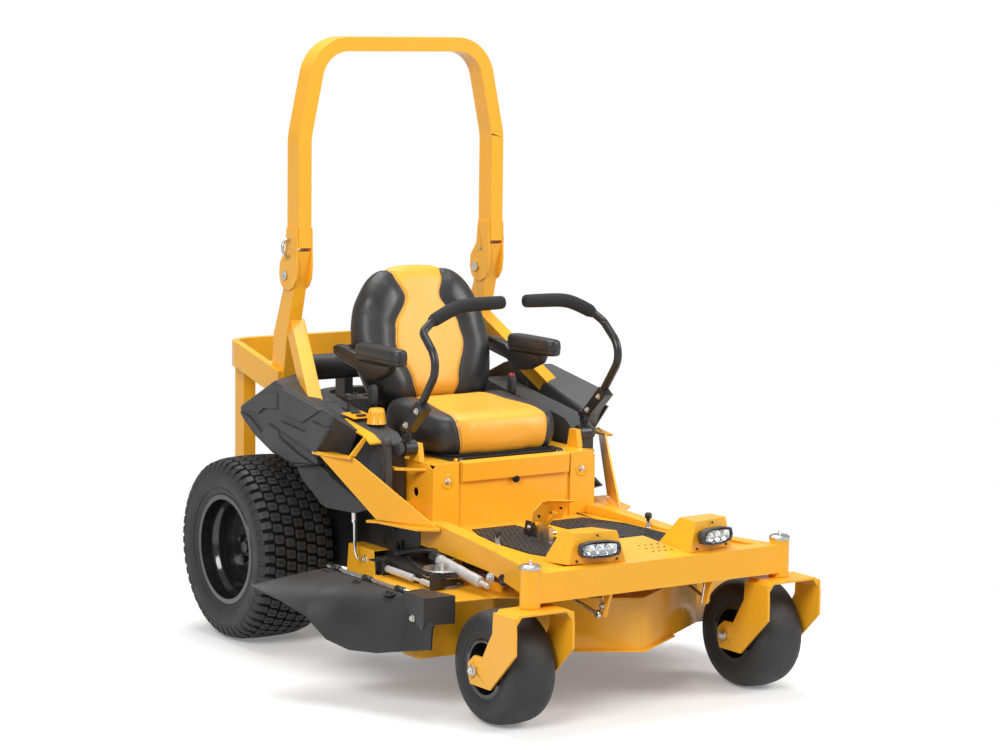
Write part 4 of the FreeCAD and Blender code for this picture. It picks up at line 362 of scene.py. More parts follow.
# the lugs of a row, how far each row lags the one beside it in pitches, and a lug's size in millimetres
TREAD_PITCHES, STAGGER, LUG_HEIGHT, LUG_WIDTH, LUG_LENGTH = 50, 0.36, 8.5, 31.0, 29.0
wall = [(-106.8, 165.5), (-113, 172), (-121, 186), (-128.5, 205), (-132.4, 228), (-131, 248), (-124, 264),
        (-112, 274)]
crown = [(-90, 279.5), (-60, 281.8), (-30, 283), (0, 283.3)]
half_carcass = eased(wall + crown)
carcass = half_carcass + [(-a, b) for a, b in reversed(half_carcass[:-1])]
carcass += [(100, 165.5), (60, 190), (-60, 190), (-100, 165.5)]


def crown_radius(offset):
    """Radius of the carcass under the tread at an offset from the wheel's middle."""
    away = abs(offset)
    for (a, b), (c, d) in zip(carcass, carcass[1:]):
        if a <= -away <= c and b > 240:
            return b + (d - b) * (-away - a) / (c - a or 1)
    return 250.0


def tread(x_wheel):
    """All the lugs of a tyre as one set of points and faces."""
    points, faces = [], []

    def lug(x0, x1, angle, length, rise, slot):
        """An eight-cornered block on the carcass; lengths round the tyre are in millimetres."""
        half_x, half_l, mid = (x1 - x0) / 2, length / 2, (x0 + x1) / 2
        corner = [(-1, -0.6), (-0.7, -1), (0.7, -1), (1, -0.6), (1, 0.6), (0.7, 1), (-0.7, 1), (-1, 0.6)]
        rings = [(1.0, 1.0, -2.0), (0.97, 0.97, rise - 2.2), (0.88, 0.87, rise)]
        if slot:
            rings += [(0.55, 0.16, rise), (0.50, 0.10, rise - 2.6)]
        start = len(points)
        for share_x, share_l, lift in rings:
            for a, b in corner:
                offset = mid + a * share_x * half_x
                radius = crown_radius(offset) + lift
                turn = angle + (b * share_l * half_l + a * half_x * 0.10) / REAR_RADIUS
                points.append(mower(x_wheel + offset, radius * math.cos(turn),
                                    REAR_RADIUS + radius * math.sin(turn)))
        faces.extend(ring_faces(len(rings), 8, start))
        faces.append(tuple(start + (len(rings) - 1) * 8 + n for n in range(8)))

    pitch = 2 * math.pi / TREAD_PITCHES
    for n in range(TREAD_PITCHES):
        for row, offset in enumerate((-74, -37, 0, 37, 74)):
            lug(offset - LUG_WIDTH / 2, offset + LUG_WIDTH / 2, pitch * (n + STAGGER * row), LUG_LENGTH,
                LUG_HEIGHT, True)
        for side in (-1, 1):
            turn = pitch * (n + (STAGGER * 5 if side > 0 else -STAGGER))
            # a shoulder lug in two steps: over the crown's edge, then down the wall
            lug(min(side * 93, side * 116), max(side * 93, side * 116), turn, 25.0, LUG_HEIGHT - 1.0, False)
            start = len(points)
            for offset, wall_radius, lift in ((112, 274, 6.6), (122, 265.5, 5.4), (128, 257, 3.8),
                                              (131, 247, 1.6), (131.5, 236, -1.5)):
                radius = wall_radius + lift
                for b in (-0.5, 0.5):
                    width = 22.0 if offset < 125 else 18.0
                    angle = turn + b * width / REAR_RADIUS
                    points.append(mower(x_wheel + side * (offset + lift * 0.25), radius * math.cos(angle),
                                        REAR_RADIUS + radius * math.sin(angle)))
            for offset, radius in ((104, 268), (114, 258), (120, 248), (124, 238), (126, 230)):
                for b in (-0.5, 0.5):
                    angle = turn + b * 24.0 / REAR_RADIUS
                    points.append(mower(x_wheel + side * offset, radius * math.cos(angle),
                                        REAR_RADIUS + radius * math.sin(angle)))
            for k in range(4):
                a, b, c, d = start + 2 * k, start + 2 * k + 1, start + 2 * k + 3, start + 2 * k + 2
                faces.append((a, b, c, d))
                low_a, low_b = start + 10 + 2 * k, start + 12 + 2 * k
                faces.append((a, d, low_b, low_a))
                faces.append((b, low_a + 1, low_b + 1, c))
            faces.append((start, start + 10, start + 11, start + 1))
            faces.append((start + 8, start + 9, start + 19, start + 18))
    return points, faces


for word, side in (("left", 1), ("right", -1)):
    body = "rear_wheel_" + word[0]
    points, faces = wheel_points(carcass, side * REAR_X, 0, REAR_RADIUS, 120)
    tyre = piece("tyre_rear_" + word, points, faces, tyre_rubber, body, ["rear_tyre_" + word])
    tyre.data.materials.append(tread_groove_shade)
    # carcass faces out beyond the groove radius, between the lugs, take the near-black finish: painted shade
    for face in tyre.data.polygons:
        x, y, z = face.center * 1000
        if math.hypot(y - AXLE_Y, z - REAR_RADIUS) > GROOVE_RADIUS:
            face.material_index = 1
    points, faces = tread(side * REAR_X)
    piece("tread_" + word, points, faces, tyre_rubber, body, smooth=False)
    # thin moulded rings on the wall, in place of any lettering
    for radius, offset in ((196.0, 125.6), (246.0, 131.4)):
        ring = [(side * (offset - 1.5), radius - 2.2), (side * (offset + 1.1), radius - 0.9),
                (side * (offset + 1.1), radius + 0.9), (side * (offset - 1.5), radius + 2.2)]
        points, faces = wheel_points(ring, side * REAR_X, 0, REAR_RADIUS, 120)
        piece("wall_ring_%s_%d" % (word, radius), points, faces, tyre_rubber, body)

# ------------------------------------------------------------------ caster tyres
# Flat-free caster tyres of smooth black rubber, round in section, with two moulded rings beside the rim.
CASTER_RADIUS, CASTER_X, CASTER_Y = 165.0, 446.0, -1352.0
half_caster = eased([(-64.8, 80.5), (-70, 84), (-75, 93), (-79.5, 106), (-80.8, 120), (-78, 136),
                     (-70, 150), (-54, 159.5), (-30, 163.6), (0, 164.8)])
caster_profile = half_caster + [(-a, b) for a, b in reversed(half_caster[:-1])] + [(50, 90), (-50, 90)]
for word, side in (("left", 1), ("right", -1)):
    body = "caster_wheel_" + word[0]
    points, faces = wheel_points(caster_profile, side * CASTER_X, CASTER_Y, CASTER_RADIUS, 96)
    piece("tyre_caster_" + word, points, faces, tyre_rubber, body, ["caster_tyre_" + word])
    for way in (-1, 1):
        for radius, offset in ((97.0, 76.6), (109.0, 79.9)):
            ring = [(way * (offset - 1), radius - 1.8), (way * (offset + 0.9), radius),
                    (way * (offset - 1), radius + 1.8)]
            points, faces = wheel_points(ring, side * CASTER_X, CASTER_Y, CASTER_RADIUS, 96)
            piece("caster_ring_%s_%s_%d" % (word, "out" if way == side else "in", radius), points, faces,
                  tyre_rubber, body)

# ------------------------------------------------------------------ seat
# High-backed seat: a foam cushion and a foam back, covered in grained black vinyl with a yellow centre
# panel, a pinched seam along the panel and a row of stitches on each side of it; two padded armrests; and
# behind the pads a moulded shell, the plate under the cushion and the links that carry the back.
def vinyl_of(name, panel_tone, side_tone):
    """Grained vinyl in two tones: the panel where the seam attribute is negative, the bolster beyond it,
    with painted shade darkening the sunk seam and short stitches 6 mm to each side."""
    made = finish_of(name, side_tone, tuple(c * 1.35 for c in side_tone), rough=(0.36, 0.48),
                     patch=(7.0, 0.5), grain=(520.0, 0.28), depth=0.0006, coat=0.08, coat_rough=0.3)
    nodes, links = made.node_tree.nodes, made.node_tree.links
    skin = nodes["Principled BSDF"]
    group = next(n for n in nodes if n.type == "GROUP")
    seam = nodes.new("ShaderNodeAttribute")
    seam.attribute_name = "seam"
    run = nodes.new("ShaderNodeAttribute")
    run.attribute_name = "run"

    def ramp(source, low, high, start=0.0, end=1.0):
        node = nodes.new("ShaderNodeMapRange")
        node.inputs["From Min"].default_value, node.inputs["From Max"].default_value = low, high
        node.inputs["To Min"].default_value, node.inputs["To Max"].default_value = start, end
        links.new(source, node.inputs["Value"])
        return node.outputs["Result"]

    def maths(operation, first, second):
        node = nodes.new("ShaderNodeMath")
        node.operation = operation
        for socket, value in zip(node.inputs, (first, second)):
            if isinstance(value, float):
                socket.default_value = value
            else:
                links.new(value, socket)
        return node.outputs[0]

    beyond = ramp(seam.outputs["Fac"], -0.0006, 0.0006)
    away = maths("ABSOLUTE", seam.outputs["Fac"], 0.0)
    # painted shade: along the sunk seam the colour darkens to half the bolster tone
    seam_shade = ramp(away, 0.0008, 0.0026, 1.0, 0.0)
    dash = maths("LESS_THAN", maths("FRACT", maths("MULTIPLY", run.outputs["Fac"], 125.0), 0.0), 0.62)
    line = maths("LESS_THAN", maths("ABSOLUTE", maths("SUBTRACT", away, 0.0065), 0.0), 0.0008)
    stitch = maths("MULTIPLY", dash, line)

    def blend(factor, first, second):
        node = nodes.new("ShaderNodeMix")
        node.data_type = "RGBA"
        links.new(factor, node.inputs["Factor"])
        for socket, value in ((node.inputs["A"], first), (node.inputs["B"], second)):
            if isinstance(value, tuple):
                socket.default_value = (*value, 1)
            else:
                links.new(value, socket)
        return node.outputs["Result"]

    two = blend(beyond, panel_tone, group.outputs["Color"])
    seam_shaded = blend(seam_shade, two, tuple(c * 0.5 for c in side_tone))
    sewn = blend(stitch, seam_shaded, (0.055, 0.052, 0.045))
    links.new(sewn, skin.inputs["Base Color"])
    return made


def plump(shape, cap, voxel=0.006, pressure=4.0, creases=0.12):
    """Swell a closed shape like a stuffed cover: voxel remesh, a short cloth run under pressure, a limit on
    how far any point may go, and foam that evens out all but a share of the creases."""
    remesh = shape.modifiers.new("remesh", "REMESH")
    remesh.mode, remesh.voxel_size = "VOXEL", voxel
    graph = bpy.context.evaluated_depsgraph_get()
    mesh = bpy.data.meshes.new_from_object(shape.evaluated_get(graph))
    shape.modifiers.clear()
    materials = list(shape.data.materials)
    shape.data = mesh
    mesh.materials.clear()
    for material in materials:
        mesh.materials.append(material)
    rest = np.array([v.co for v in mesh.vertices])
    ends = np.array([edge.vertices[:] for edge in mesh.edges])
    degree = np.bincount(ends.ravel(), minlength=len(rest)).reshape(-1, 1)

    def evened(field, rounds):
        """A field over the points, each time halfway to the mean of its neighbours."""
        for _ in range(rounds):
            total = np.zeros_like(field)
            for axis in range(3):
                total[:, axis] = (np.bincount(ends[:, 0], field[ends[:, 1], axis], len(rest))
                                  + np.bincount(ends[:, 1], field[ends[:, 0], axis], len(rest)))
            field = (field + total / degree) / 2
        return field

    points = evened(rest, 8)
    cloth = shape.modifiers.new("cloth", "CLOTH")
    given = cloth.settings
    given.quality, given.mass, given.air_damping = 5, 0.3, 1.0
    given.tension_stiffness, given.compression_stiffness, given.shear_stiffness = 15, 15, 5
    given.bending_stiffness = 2.0
    given.use_pressure, given.uniform_pressure_force = True, pressure
    given.effector_weights.gravity = 0
    cloth.point_cache.frame_start, cloth.point_cache.frame_end = 1, 20
    for step in range(1, 21):
        scene.frame_set(step)
    graph = bpy.context.evaluated_depsgraph_get()
    swollen = shape.evaluated_get(graph).to_mesh()
    moved = np.array([v.co for v in swollen.vertices])
    shape.evaluated_get(graph).to_mesh_clear()
    shape.modifiers.remove(cloth)
    scene.frame_set(1)
    move = moved - rest
    length = np.linalg.norm(move, axis=1, keepdims=True)
    move *= np.minimum(1, cap / np.maximum(length, 1e-9))
    broad = evened(move, 60)
    points = points + broad + (evened(move, 3) - broad) * creases
    mesh.vertices.foreach_set("co", points.ravel())
    for face in mesh.polygons:
        face.use_smooth = True
    mesh.update()
    smooth = shape.modifiers.new("smooth", "SUBSURF")
    smooth.levels = smooth.render_levels = 1
    return mesh


def between_marks(marks, place):
    """A smooth value read off pairs of (place, value)."""
    if place <= marks[0][0]:
        return marks[0][1]
    for (a, b), (c, d) in zip(marks, marks[1:]):
        if place <= c:
            share = (place - a) / (c - a)
            share = share * share * (3 - 2 * share)
            return b + (d - b) * share
    return marks[-1][1]


def own_lines(point):
    """The way back from the row frame: a point on the mower's own lines, in millimetres."""
    return point.x * 1000 - MIDDLE_X, point.y * 1000 - AXLE_Y, point.z * 1000


def sew(mesh, seam_distance, run_along, groove=0.0045, breadth=0.006, swell=0.0):
    """Sink the seam, lift the bolster beyond it, and store how far each point lies from the seam."""
    seam = mesh.attributes.new("seam", "FLOAT", "POINT")
    run = mesh.attributes.new("run", "FLOAT", "POINT")
    normals = [v.normal.copy() for v in mesh.vertices]
    for vertex, normal in zip(mesh.vertices, normals):
        away = seam_distance(vertex.co)
        seam.data[vertex.index].value = away
        run.data[vertex.index].value = run_along(vertex.co)
        sink = groove * math.exp(-(away / breadth) ** 2)
        rise = swell * (1 - math.exp(-(away / 0.03) ** 2)) if away > 0 else 0
        vertex.co += normal * (rise - sink)
    mesh.update()


def smooth_ring(points, rounds):
    """A closed outline with its corners cut until it is round."""
    for _ in range(rounds):
        cut = []
        for (a, b), (c, d) in zip(points, points[1:] + points[:1]):
            cut += [(a * 0.75 + c * 0.25, b * 0.75 + d * 0.25), (a * 0.25 + c * 0.75, b * 0.25 + d * 0.75)]
        points = cut
    return points


def layered(outline, layers, place):
    """A closed solid of one outline, drawn smaller or larger at each layer: pairs of (height, share)."""
    points, faces = [], []
    count = len(outline)
    for height, share in layers:
        for a, b in outline:
            points.append(place(a * share, b, height, share))
    faces += ring_faces(len(layers), count)
    faces.append(tuple(reversed(range(count))))
    faces.append(tuple(range((len(layers) - 1) * count, len(layers) * count)))
    return points, faces


def smooth_line(points, steps):
    """Points along a rounded line through the given ones."""
    data = bpy.data.curves.new("line", "CURVE")
    data.dimensions = "3D"
    spline = data.splines.new("NURBS")
    spline.points.add(len(points) - 1)
    for knot, point in zip(spline.points, points):
        knot.co = (*mower(*point), 1)
    spline.order_u, spline.use_endpoint_u, spline.resolution_u = 3, True, steps
    guide = bpy.data.objects.new("line", data)
    scene.collection.objects.link(guide)
    graph = bpy.context.evaluated_depsgraph_get()
    mesh = bpy.data.meshes.new_from_object(guide.evaluated_get(graph))
    line = [v.co.copy() for v in mesh.vertices]
    bpy.data.objects.remove(guide)
    bpy.data.meshes.remove(mesh)
    return line


def tube(name, line, radius, finish, body, steps, ends):
    """A round tube along a line of points; radius is a length or a function of the share of the line, and
    ends is how far its rounded ends reach, in radii."""
    points = []
    share_of = [0.0]
    for a, b in zip(line, line[1:]):
        share_of.append(share_of[-1] + (b - a).length)
    whole = share_of[-1]
    size = radius if callable(radius) else lambda share: radius
    side = (line[1] - line[0]).orthogonal().normalized()
    rings = []
    for n, point in enumerate(line):
        ahead = (line[min(n + 1, len(line) - 1)] - line[max(n - 1, 0)]).normalized()
        side = (side - ahead * side.dot(ahead)).normalized()
        rings.append((point, ahead, side.copy(), size(share_of[n] / whole) / 1000))
    if ends:
        for end, way in ((0, -1), (-1, 1)):
            point, ahead, side, r = rings[end]
            extra = [(point + ahead * way * r * ends * 0.55, ahead, side, r * 0.9),
                     (point + ahead * way * r * ends * 0.9, ahead, side, r * 0.62),
                     (point + ahead * way * r * ends, ahead, side, r * 0.3)]
            rings = list(reversed(extra)) + rings if end == 0 else rings + extra
    for point, ahead, side, r in rings:
        other = ahead.cross(side)
        for step in range(steps):
            angle = 2 * math.pi * step / steps
            points.append(point + (side * math.cos(angle) + other * math.sin(angle)) * r)
    faces = ring_faces(len(rings), steps)
    faces.append(tuple(reversed(range(steps))))
    faces.append(tuple((len(rings) - 1) * steps + n for n in range(steps)))
    return piece(name, points, faces, finish, body)


seat_vinyl = vinyl_of("seat_vinyl", (0.90, 0.42, 0.035), (0.020, 0.020, 0.021))
CUSHION_TOP, CUSHION_FOOT, CUSHION_MIDDLE_Y = 757.0, 654.0, -506.0
plan = smooth_ring([(-226, -300), (-243, -400), (-247, -570), (-222, -660), (-140, -704), (140, -704),
                    (222, -660), (247, -570), (243, -400), (226, -300)], 2)
points, faces = layered(
    plan, [(CUSHION_FOOT, 0.93), (CUSHION_FOOT + 12, 0.965), (CUSHION_FOOT + 34, 0.985),
           (CUSHION_TOP - 34, 0.985), (CUSHION_TOP - 12, 0.965), (CUSHION_TOP, 0.92)],
    lambda x, y, z, share: mower(x, CUSHION_MIDDLE_Y + (y - CUSHION_MIDDLE_Y) * share, z))
cushion = piece("cushion", points, faces, seat_vinyl, "seat", ["seat_cushion"])
mesh = plump(cushion, 0.016)
# the yellow panel narrows towards the back and towards the foot of the front face
panel_by_y = ((-690, 172), (-600, 164), (-440, 140), (-330, 122))


def cushion_seam(point):
    """How far a point of the cushion lies outside the yellow panel, in metres."""
    x, y, z = own_lines(point)
    half = between_marks(panel_by_y, y) - max(0, 745 - z) * 0.16
    return (abs(x) - half) / 1000


for vertex in mesh.vertices:
    # the pad rises a little to the back, and dips where one sits
    x, y, z = own_lines(vertex.co)
    top = min(1, max(0, (z - 700) / 50))
    vertex.co.z += top * (0.024 * between_marks(((-690, 0), (-330, 1)), y) + 0.002
                          - 0.010 * math.exp(-(x / 150) ** 2 - ((y + 480) / 130) ** 2))
sew(mesh, cushion_seam, lambda p: p.y - p.z, swell=0.004)

BACK_SLOPE, BACK_FOOT_Y, BACK_FOOT_Z = 0.345, -306, 766
lean = math.atan(BACK_SLOPE)
back_outline = smooth_ring([(-192, 4), (-226, 80), (-243, 160), (-244, 236), (-230, 306), (-198, 364),
                            (-146, 414), (-74, 446), (74, 446), (146, 414), (198, 364), (230, 306),
                            (244, 236), (243, 160), (226, 80), (192, 4), (100, -6), (-100, -6)], 2)


def back_place(x, along, depth, share):
    """A point of the backrest: along its lean from the cushion, and depth behind its front face."""
    along = 220 + (along * 1.06 - 220) * share
    thin = 1 - 0.42 * max(0, along - 150) / 300
    y = BACK_FOOT_Y + along * math.sin(lean) + depth * thin * math.cos(lean)
    z = BACK_FOOT_Z + along * math.cos(lean) - depth * thin * math.sin(lean)
    return mower(x * 1.02, y, z)


points, faces = layered(back_outline,
                        [(10, 0.90), (16, 0.945), (30, 0.975), (50, 0.985), (78, 0.975), (92, 0.95),
                         (98, 0.91)],
                        back_place)
backrest = piece("backrest", points, faces, seat_vinyl, "seat", ["seat_back"])
mesh = plump(backrest, 0.016)
panel_by_z = ((766, 72), (830, 88), (950, 128), (1000, 120), (1092, 66), (1160, 92), (1200, 128))


def back_seam(point):
    """How far a point of the backrest lies outside the yellow panel, in metres."""
    x, y, z = own_lines(point)
    face = BACK_FOOT_Y + (z - BACK_FOOT_Z) * BACK_SLOPE + 74
    return max(abs(x) - between_marks(panel_by_z, z), (y - face) * 2) / 1000


sew(mesh, back_seam, lambda p: p.z, swell=0.012)


def slab_faces(count):
    """Faces of a solid between two outlines of as many corners, the second numbered after the first."""
    faces = [tuple(range(count)), tuple(reversed(range(count, 2 * count)))]
    return faces + [(n, n + count, (n + 1) % count + count, (n + 1) % count) for n in range(count)]


arm_vinyl = vinyl_of("arm_vinyl", (0.020, 0.020, 0.021), (0.022, 0.022, 0.023))
for word, side in (("left", 1), ("right", -1)):
    plan = smooth_ring([(-29, -296), (-32, -340), (-32, -480), (-30, -536), (0, -548), (30, -536),
                        (32, -480), (32, -340), (29, -296), (0, -288)], 2)
    points, faces = layered(plan,
                            [(914, 0.88), (918, 0.95), (928, 0.99), (952, 0.98), (962, 0.93), (966, 0.84)],
                            lambda x, y, z, share: mower(side * 287 + x * share,
                                                         -420 + (y + 420) * (0.7 + share * 0.3), z))
    pad = piece("arm_pad_" + word, points, faces, arm_vinyl, "arm_" + word[0], smooth=True)
    mesh = plump(pad, 0.005, voxel=0.004, creases=0.05)
    sew(mesh, lambda p: (p.z * 1000 - 930) / 1000, lambda p: p.y, groove=0.002, breadth=0.003)
    # the moulded bracket below the pad, bevelled like the casting it is
    outline = [(-486, 914), (-470, 886), (-400, 858), (-330, 850), (-290, 880), (-180, 900), (-146, 916),
               (-142, 940), (-170, 948), (-280, 930), (-300, 914)]
    points = [mower(side * 283 + w, y, z) for w in (-17, 17) for y, z in outline]
    holder = piece("arm_holder_" + word, points, slab_faces(len(outline)), black, "arm_" + word[0],
                   ["armrest_" + word], smooth=True)
    edge = holder.modifiers.new("edges", "BEVEL")
    edge.width, edge.segments = 0.007, 4
    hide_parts("armrest_" + word)

# Behind the pads: a moulded shell that wraps the back, the plate the cushion is screwed to, and the
# brackets that join them and carry the armrests' pivots.
shell_plastic = finish_of("seat_shell_plastic", (0.016, 0.016, 0.017), (0.026, 0.026, 0.027),
                          rough=(0.42, 0.55), patch=(5.0, 0.5), grain=(1300.0, 0.3), depth=0.0006)
points, faces = layered(back_outline, [(88, 0.86), (96, 0.90), (108, 0.90), (118, 0.86), (122, 0.80)],
                        back_place)
piece("seat_shell", points, faces, shell_plastic, "seat", ["seat_frame"])
plate_plan = smooth_ring([(-206, -250), (-206, -640), (-150, -672), (150, -672), (206, -640), (206, -250)],
                         2)
points, faces = layered(plate_plan, [(646.2, 0.99), (647.2, 1.0), (650.8, 1.0), (651.8, 0.99)],
                        lambda x, y, z, share: mower(x * share, -450 + (y + 450) * share, z))
piece("seat_plate", points, faces, black, "seat", smooth=False)
for word, side in (("left", 1), ("right", -1)):
    arm_line = [(-296, 650), (-240, 652), (-226, 690), (-206, 740), (-176, 800)]
    points = [mower(side * 150 + a, y + b, z) for y, z in arm_line
              for a, b in ((-20, -3), (20, -3), (20, 3), (-20, 3))]
    faces = ring_faces(5, 4) + [(3, 2, 1, 0), (16, 17, 18, 19)]
    link = piece("seat_link_" + word, points, faces, black, "seat", smooth=False)
    edge = link.modifiers.new("edges", "BEVEL")
    edge.width, edge.segments = 0.0015, 2
    line = [mower(side * x, -162, 935) for x in (186, 214, 242, 268, 292)]
    tube("arm_pivot_" + word, line, 9.0, black, "seat", 24, 0.3)

# ------------------------------------------------------------------ rims and wheel hardware
# Pressed steel rims in glossy black; five dark lug nuts round a dark hub cap on each rear wheel, a plated
# bolt head on each side of every caster fork, and a grease nipple on top of the fork's pivot.
def paint_solids(name, finish, chosen):
    """Give the faces of a CAD node whose middle passes a test (machine millimetres) another finish."""
    mesh = solids[name].data
    mesh.materials.append(finish)
    slot = len(mesh.materials) - 1
    for face in mesh.polygons:
        x, y, z = face.center * 1000
        if chosen(x - MIDDLE_X, y - AXLE_Y, z):
            face.material_index = slot


def turned_piece(name, profile, place, axis, finish, body, steps=32, smooth=True):
    """A profile of (distance along the axis, radius), turned about an axis through a place."""
    axis = Vector(axis).normalized()
    side = axis.orthogonal().normalized()
    other = axis.cross(side)
    points, faces = [], []
    base = mower(*place)
    for step in range(steps):
        angle = 2 * math.pi * step / steps
        out = side * math.cos(angle) + other * math.sin(angle)
        points += [base + axis * (a / 1000) + out * (r / 1000) for a, r in profile]
    count = len(profile)
    for step in range(steps):
        a, b = step * count, (step + 1) % steps * count
        faces += [(a + n, b + n, b + n + 1, a + n + 1) for n in range(count - 1)]
    faces.append(tuple(step * count for step in reversed(range(steps))))
    faces.append(tuple(step * count + count - 1 for step in range(steps)))
    return piece(name, points, faces, finish, body, smooth=smooth)


def bolt(name, place, axis, size, finish, body):
    """A hexagon head on a washer, chamfered like a forged bolt."""
    turned_piece(name + "_washer",
                 [(0, size * 1.35), (size * 0.16, size * 1.35), (size * 0.22, size * 1.25)], place, axis,
                 finish, body, steps=28)
    head = turned_piece(name + "_head",
                        [(size * 0.22, size * 1.06), (size * 0.78, size * 1.06),
                         (size * 0.92, size * 0.92)],
                        place, axis, finish, body, steps=6, smooth=False)
    edge = head.modifiers.new("edges", "BEVEL")
    edge.width, edge.segments = 0.0004, 2
    turned_piece(name + "_tip",
                 [(size * 0.9, size * 0.55), (size * 1.2, size * 0.55), (size * 1.3, size * 0.46)], place,
                 axis, finish, body, steps=20)


NUT_CIRCLE, FORK_HALF, FORK_PIVOT_Y = 57, 110, -1472
hub_black = finish_of("hub_black", (0.05, 0.05, 0.052), (0.08, 0.08, 0.08), rough=(0.22, 0.36),
                      metallic=0.8)
for word, side in (("left", 1), ("right", -1)):
    paint_solids("rear_rim_" + word, hub_black,
                 lambda x, y, z: abs(x) > 512.5 and math.hypot(y, z - REAR_RADIUS) < 78)
    wheel = "rear_wheel_" + word[0]
    for n in range(5):
        angle = 2 * math.pi * n / 5 + math.pi / 2
        turned_piece("lug_nut_%s_%d" % (word, n), [(0, 11.5), (10, 11.5), (15, 9), (17, 6)],
                     (side * 513, NUT_CIRCLE * math.cos(angle), REAR_RADIUS + NUT_CIRCLE * math.sin(angle)),
                     (side, 0, 0), hub_black, wheel, 6, False)
    paint_solids("caster_fork_" + word, zinc,
                 lambda x, y, z: math.hypot(y - CASTER_Y, z - CASTER_RADIUS) < 16
                 and abs(abs(x) - CASTER_X) > 101.5)
    for way in (-1, 1):
        bolt("caster_bolt_%s_%s" % (word, "out" if way == side else "in"),
             (side * CASTER_X + way * FORK_HALF, CASTER_Y, CASTER_RADIUS), (way, 0, 0), 11, zinc,
             "caster_" + word[0])
    turned_piece("grease_nipple_" + word, [(0, 5), (3, 5), (4, 3), (7, 3), (8, 4), (11, 4), (13, 2)],
                 (side * CASTER_X, FORK_PIVOT_Y, 476), (0, 0, 1), zinc, "chassis", 20)

# ------------------------------------------------------------------ drive levers
# Black steel tubes that bow forward and in over the lap, each with a thick closed-cell foam grip that has a
# rounded end with a hole, two plated bolts through the bracket at its foot, and a ribbed nut on the pivot.
foam = finish_of("foam_grip", (0.020, 0.020, 0.021), (0.032, 0.032, 0.033), rough=(0.72, 0.86),
                 patch=(40.0, 0.6), grain=(1600.0, 0.5), depth=0.0006, specular=0.3)
# near-black matt finish for holes and the tower's notch: painted shade where the openings are
painted_hole_shade = finish_of("painted_hole_shade", (0.004, 0.004, 0.004), (0.006, 0.006, 0.006), rough=(0.9, 0.95))
pale_bolt = finish_of("pale_bolt", (0.70, 0.68, 0.62), (0.58, 0.56, 0.50), rough=(0.3, 0.4), metallic=1.0)
for word, side in (("left", 1), ("right", -1)):
    lever = "lever_" + word[0]
    line = smooth_line([(side * 287, -720, 1077), (side * 240, -720, 1100), (side * 190, -720, 1116),
                        (side * 120, -720, 1118), (side * 46, -721, 1119)], 10)
    tube("foam_grip_" + word, line,
         lambda share: 20.0 + 1.2 * math.sin(math.pi * min(1, share * 1.02)) ** 0.5, foam, lever, 32, 0.5)
    # the hole in the grip's end is a near-black disc of painted shade
    turned_piece("grip_hole_" + word, [(0, 5.5), (1.4, 5.5), (1.6, 4.6)], (side * 36.2, -721, 1119),
                 (-side, 0, 0), painted_hole_shade, lever, 20)
    turned_piece("grip_collar_" + word, [(-4, 13), (-4, 16.5), (4, 16.5), (4, 13)],
                 (side * 294, -720, 1073), (side * -0.9, 0, 0.43), rubber, lever, 28)
    for n, (y, z) in enumerate(((-727, 806), (-668, 757))):
        bolt("lever_bolt_%s_%d" % (word, n), (side * 352, y, z), (side, 0, 0), 7.5, pale_bolt, lever)
        bolt("lever_nut_%s_%d" % (word, n), (side * 319.5, y, z), (-side, 0, 0), 7.0, pale_bolt, lever)
    # the ribbed hand nut outside the pivot
    points = []
    for a, r in ((0, 15), (2, 19), (14, 20), (17, 16), (17.5, 6)):
        for n in range(36):
            angle = 2 * math.pi * n / 36
            rib = 1.0 if n % 3 else 0.90
            points.append(mower(side * (346 + a), -640 + r * rib * math.cos(angle),
                                682 + r * rib * math.sin(angle)))
    faces = ring_faces(5, 36) + [tuple(range(36)), tuple(range(4 * 36, 5 * 36))]
    piece("pivot_nut_" + word, points, faces, plastic, "chassis", smooth=False)

# ------------------------------------------------------------------ head lamps
# Each lamp is a black moulded housing with a clear window and two screws; behind the window three pale
# emitters sit in round cells of a bright reflector.
clear = bpy.data.materials.new("clear_window")
clear.use_nodes = True
skin = clear.node_tree.nodes["Principled BSDF"]
skin.inputs["Base Color"].default_value = (0.96, 0.98, 1, 1)
skin.inputs["Roughness"].default_value = 0.03
skin.inputs["Transmission Weight"].default_value = 1.0
skin.inputs["IOR"].default_value = 1.25
waves = clear.node_tree.nodes.new("ShaderNodeTexWave")
waves.inputs["Scale"].default_value = 60.0
waves.inputs["Distortion"].default_value = 0.5
ripple = clear.node_tree.nodes.new("ShaderNodeBump")
ripple.inputs["Strength"].default_value = 0.08
ripple.inputs["Distance"].default_value = 0.001
spot = clear.node_tree.nodes.new("ShaderNodeTexCoord")
clear.node_tree.links.new(spot.outputs["Object"], waves.inputs["Vector"])
clear.node_tree.links.new(waves.outputs["Fac"], ripple.inputs["Height"])
clear.node_tree.links.new(ripple.outputs["Normal"], skin.inputs["Normal"])
mirror = finish_of("lamp_reflector", (0.86, 0.87, 0.90), (0.74, 0.75, 0.78), rough=(0.08, 0.2),
                   patch=(90.0, 0.4), grain=(300.0, 0.3), metallic=1.0)
emitter = finish_of("lamp_emitter", (0.95, 0.92, 0.72), (0.90, 0.86, 0.6), rough=(0.2, 0.3),
                    patch=(200.0, 0.4), coat=0.6)
LAMP_X, LAMP_Y, LAMP_Z, LAMP_TOE = 209, -1474.0, 496, math.radians(10)


def lamp_place(side, across, ahead, z):
    """A point of a lamp: across its face, ahead of it, and up; each lamp is toed outward."""
    turn = side * LAMP_TOE
    return (side * LAMP_X + across * math.cos(turn) + ahead * math.sin(turn),
            LAMP_Y + across * math.sin(turn) - ahead * math.cos(turn), z)


def on_lamp(side):
    """Where a layered solid's points lie on a lamp: the outline across its face, the height ahead of it."""
    return lambda across, rise, ahead, share: mower(*lamp_place(side, across, ahead, LAMP_Z + rise * share))


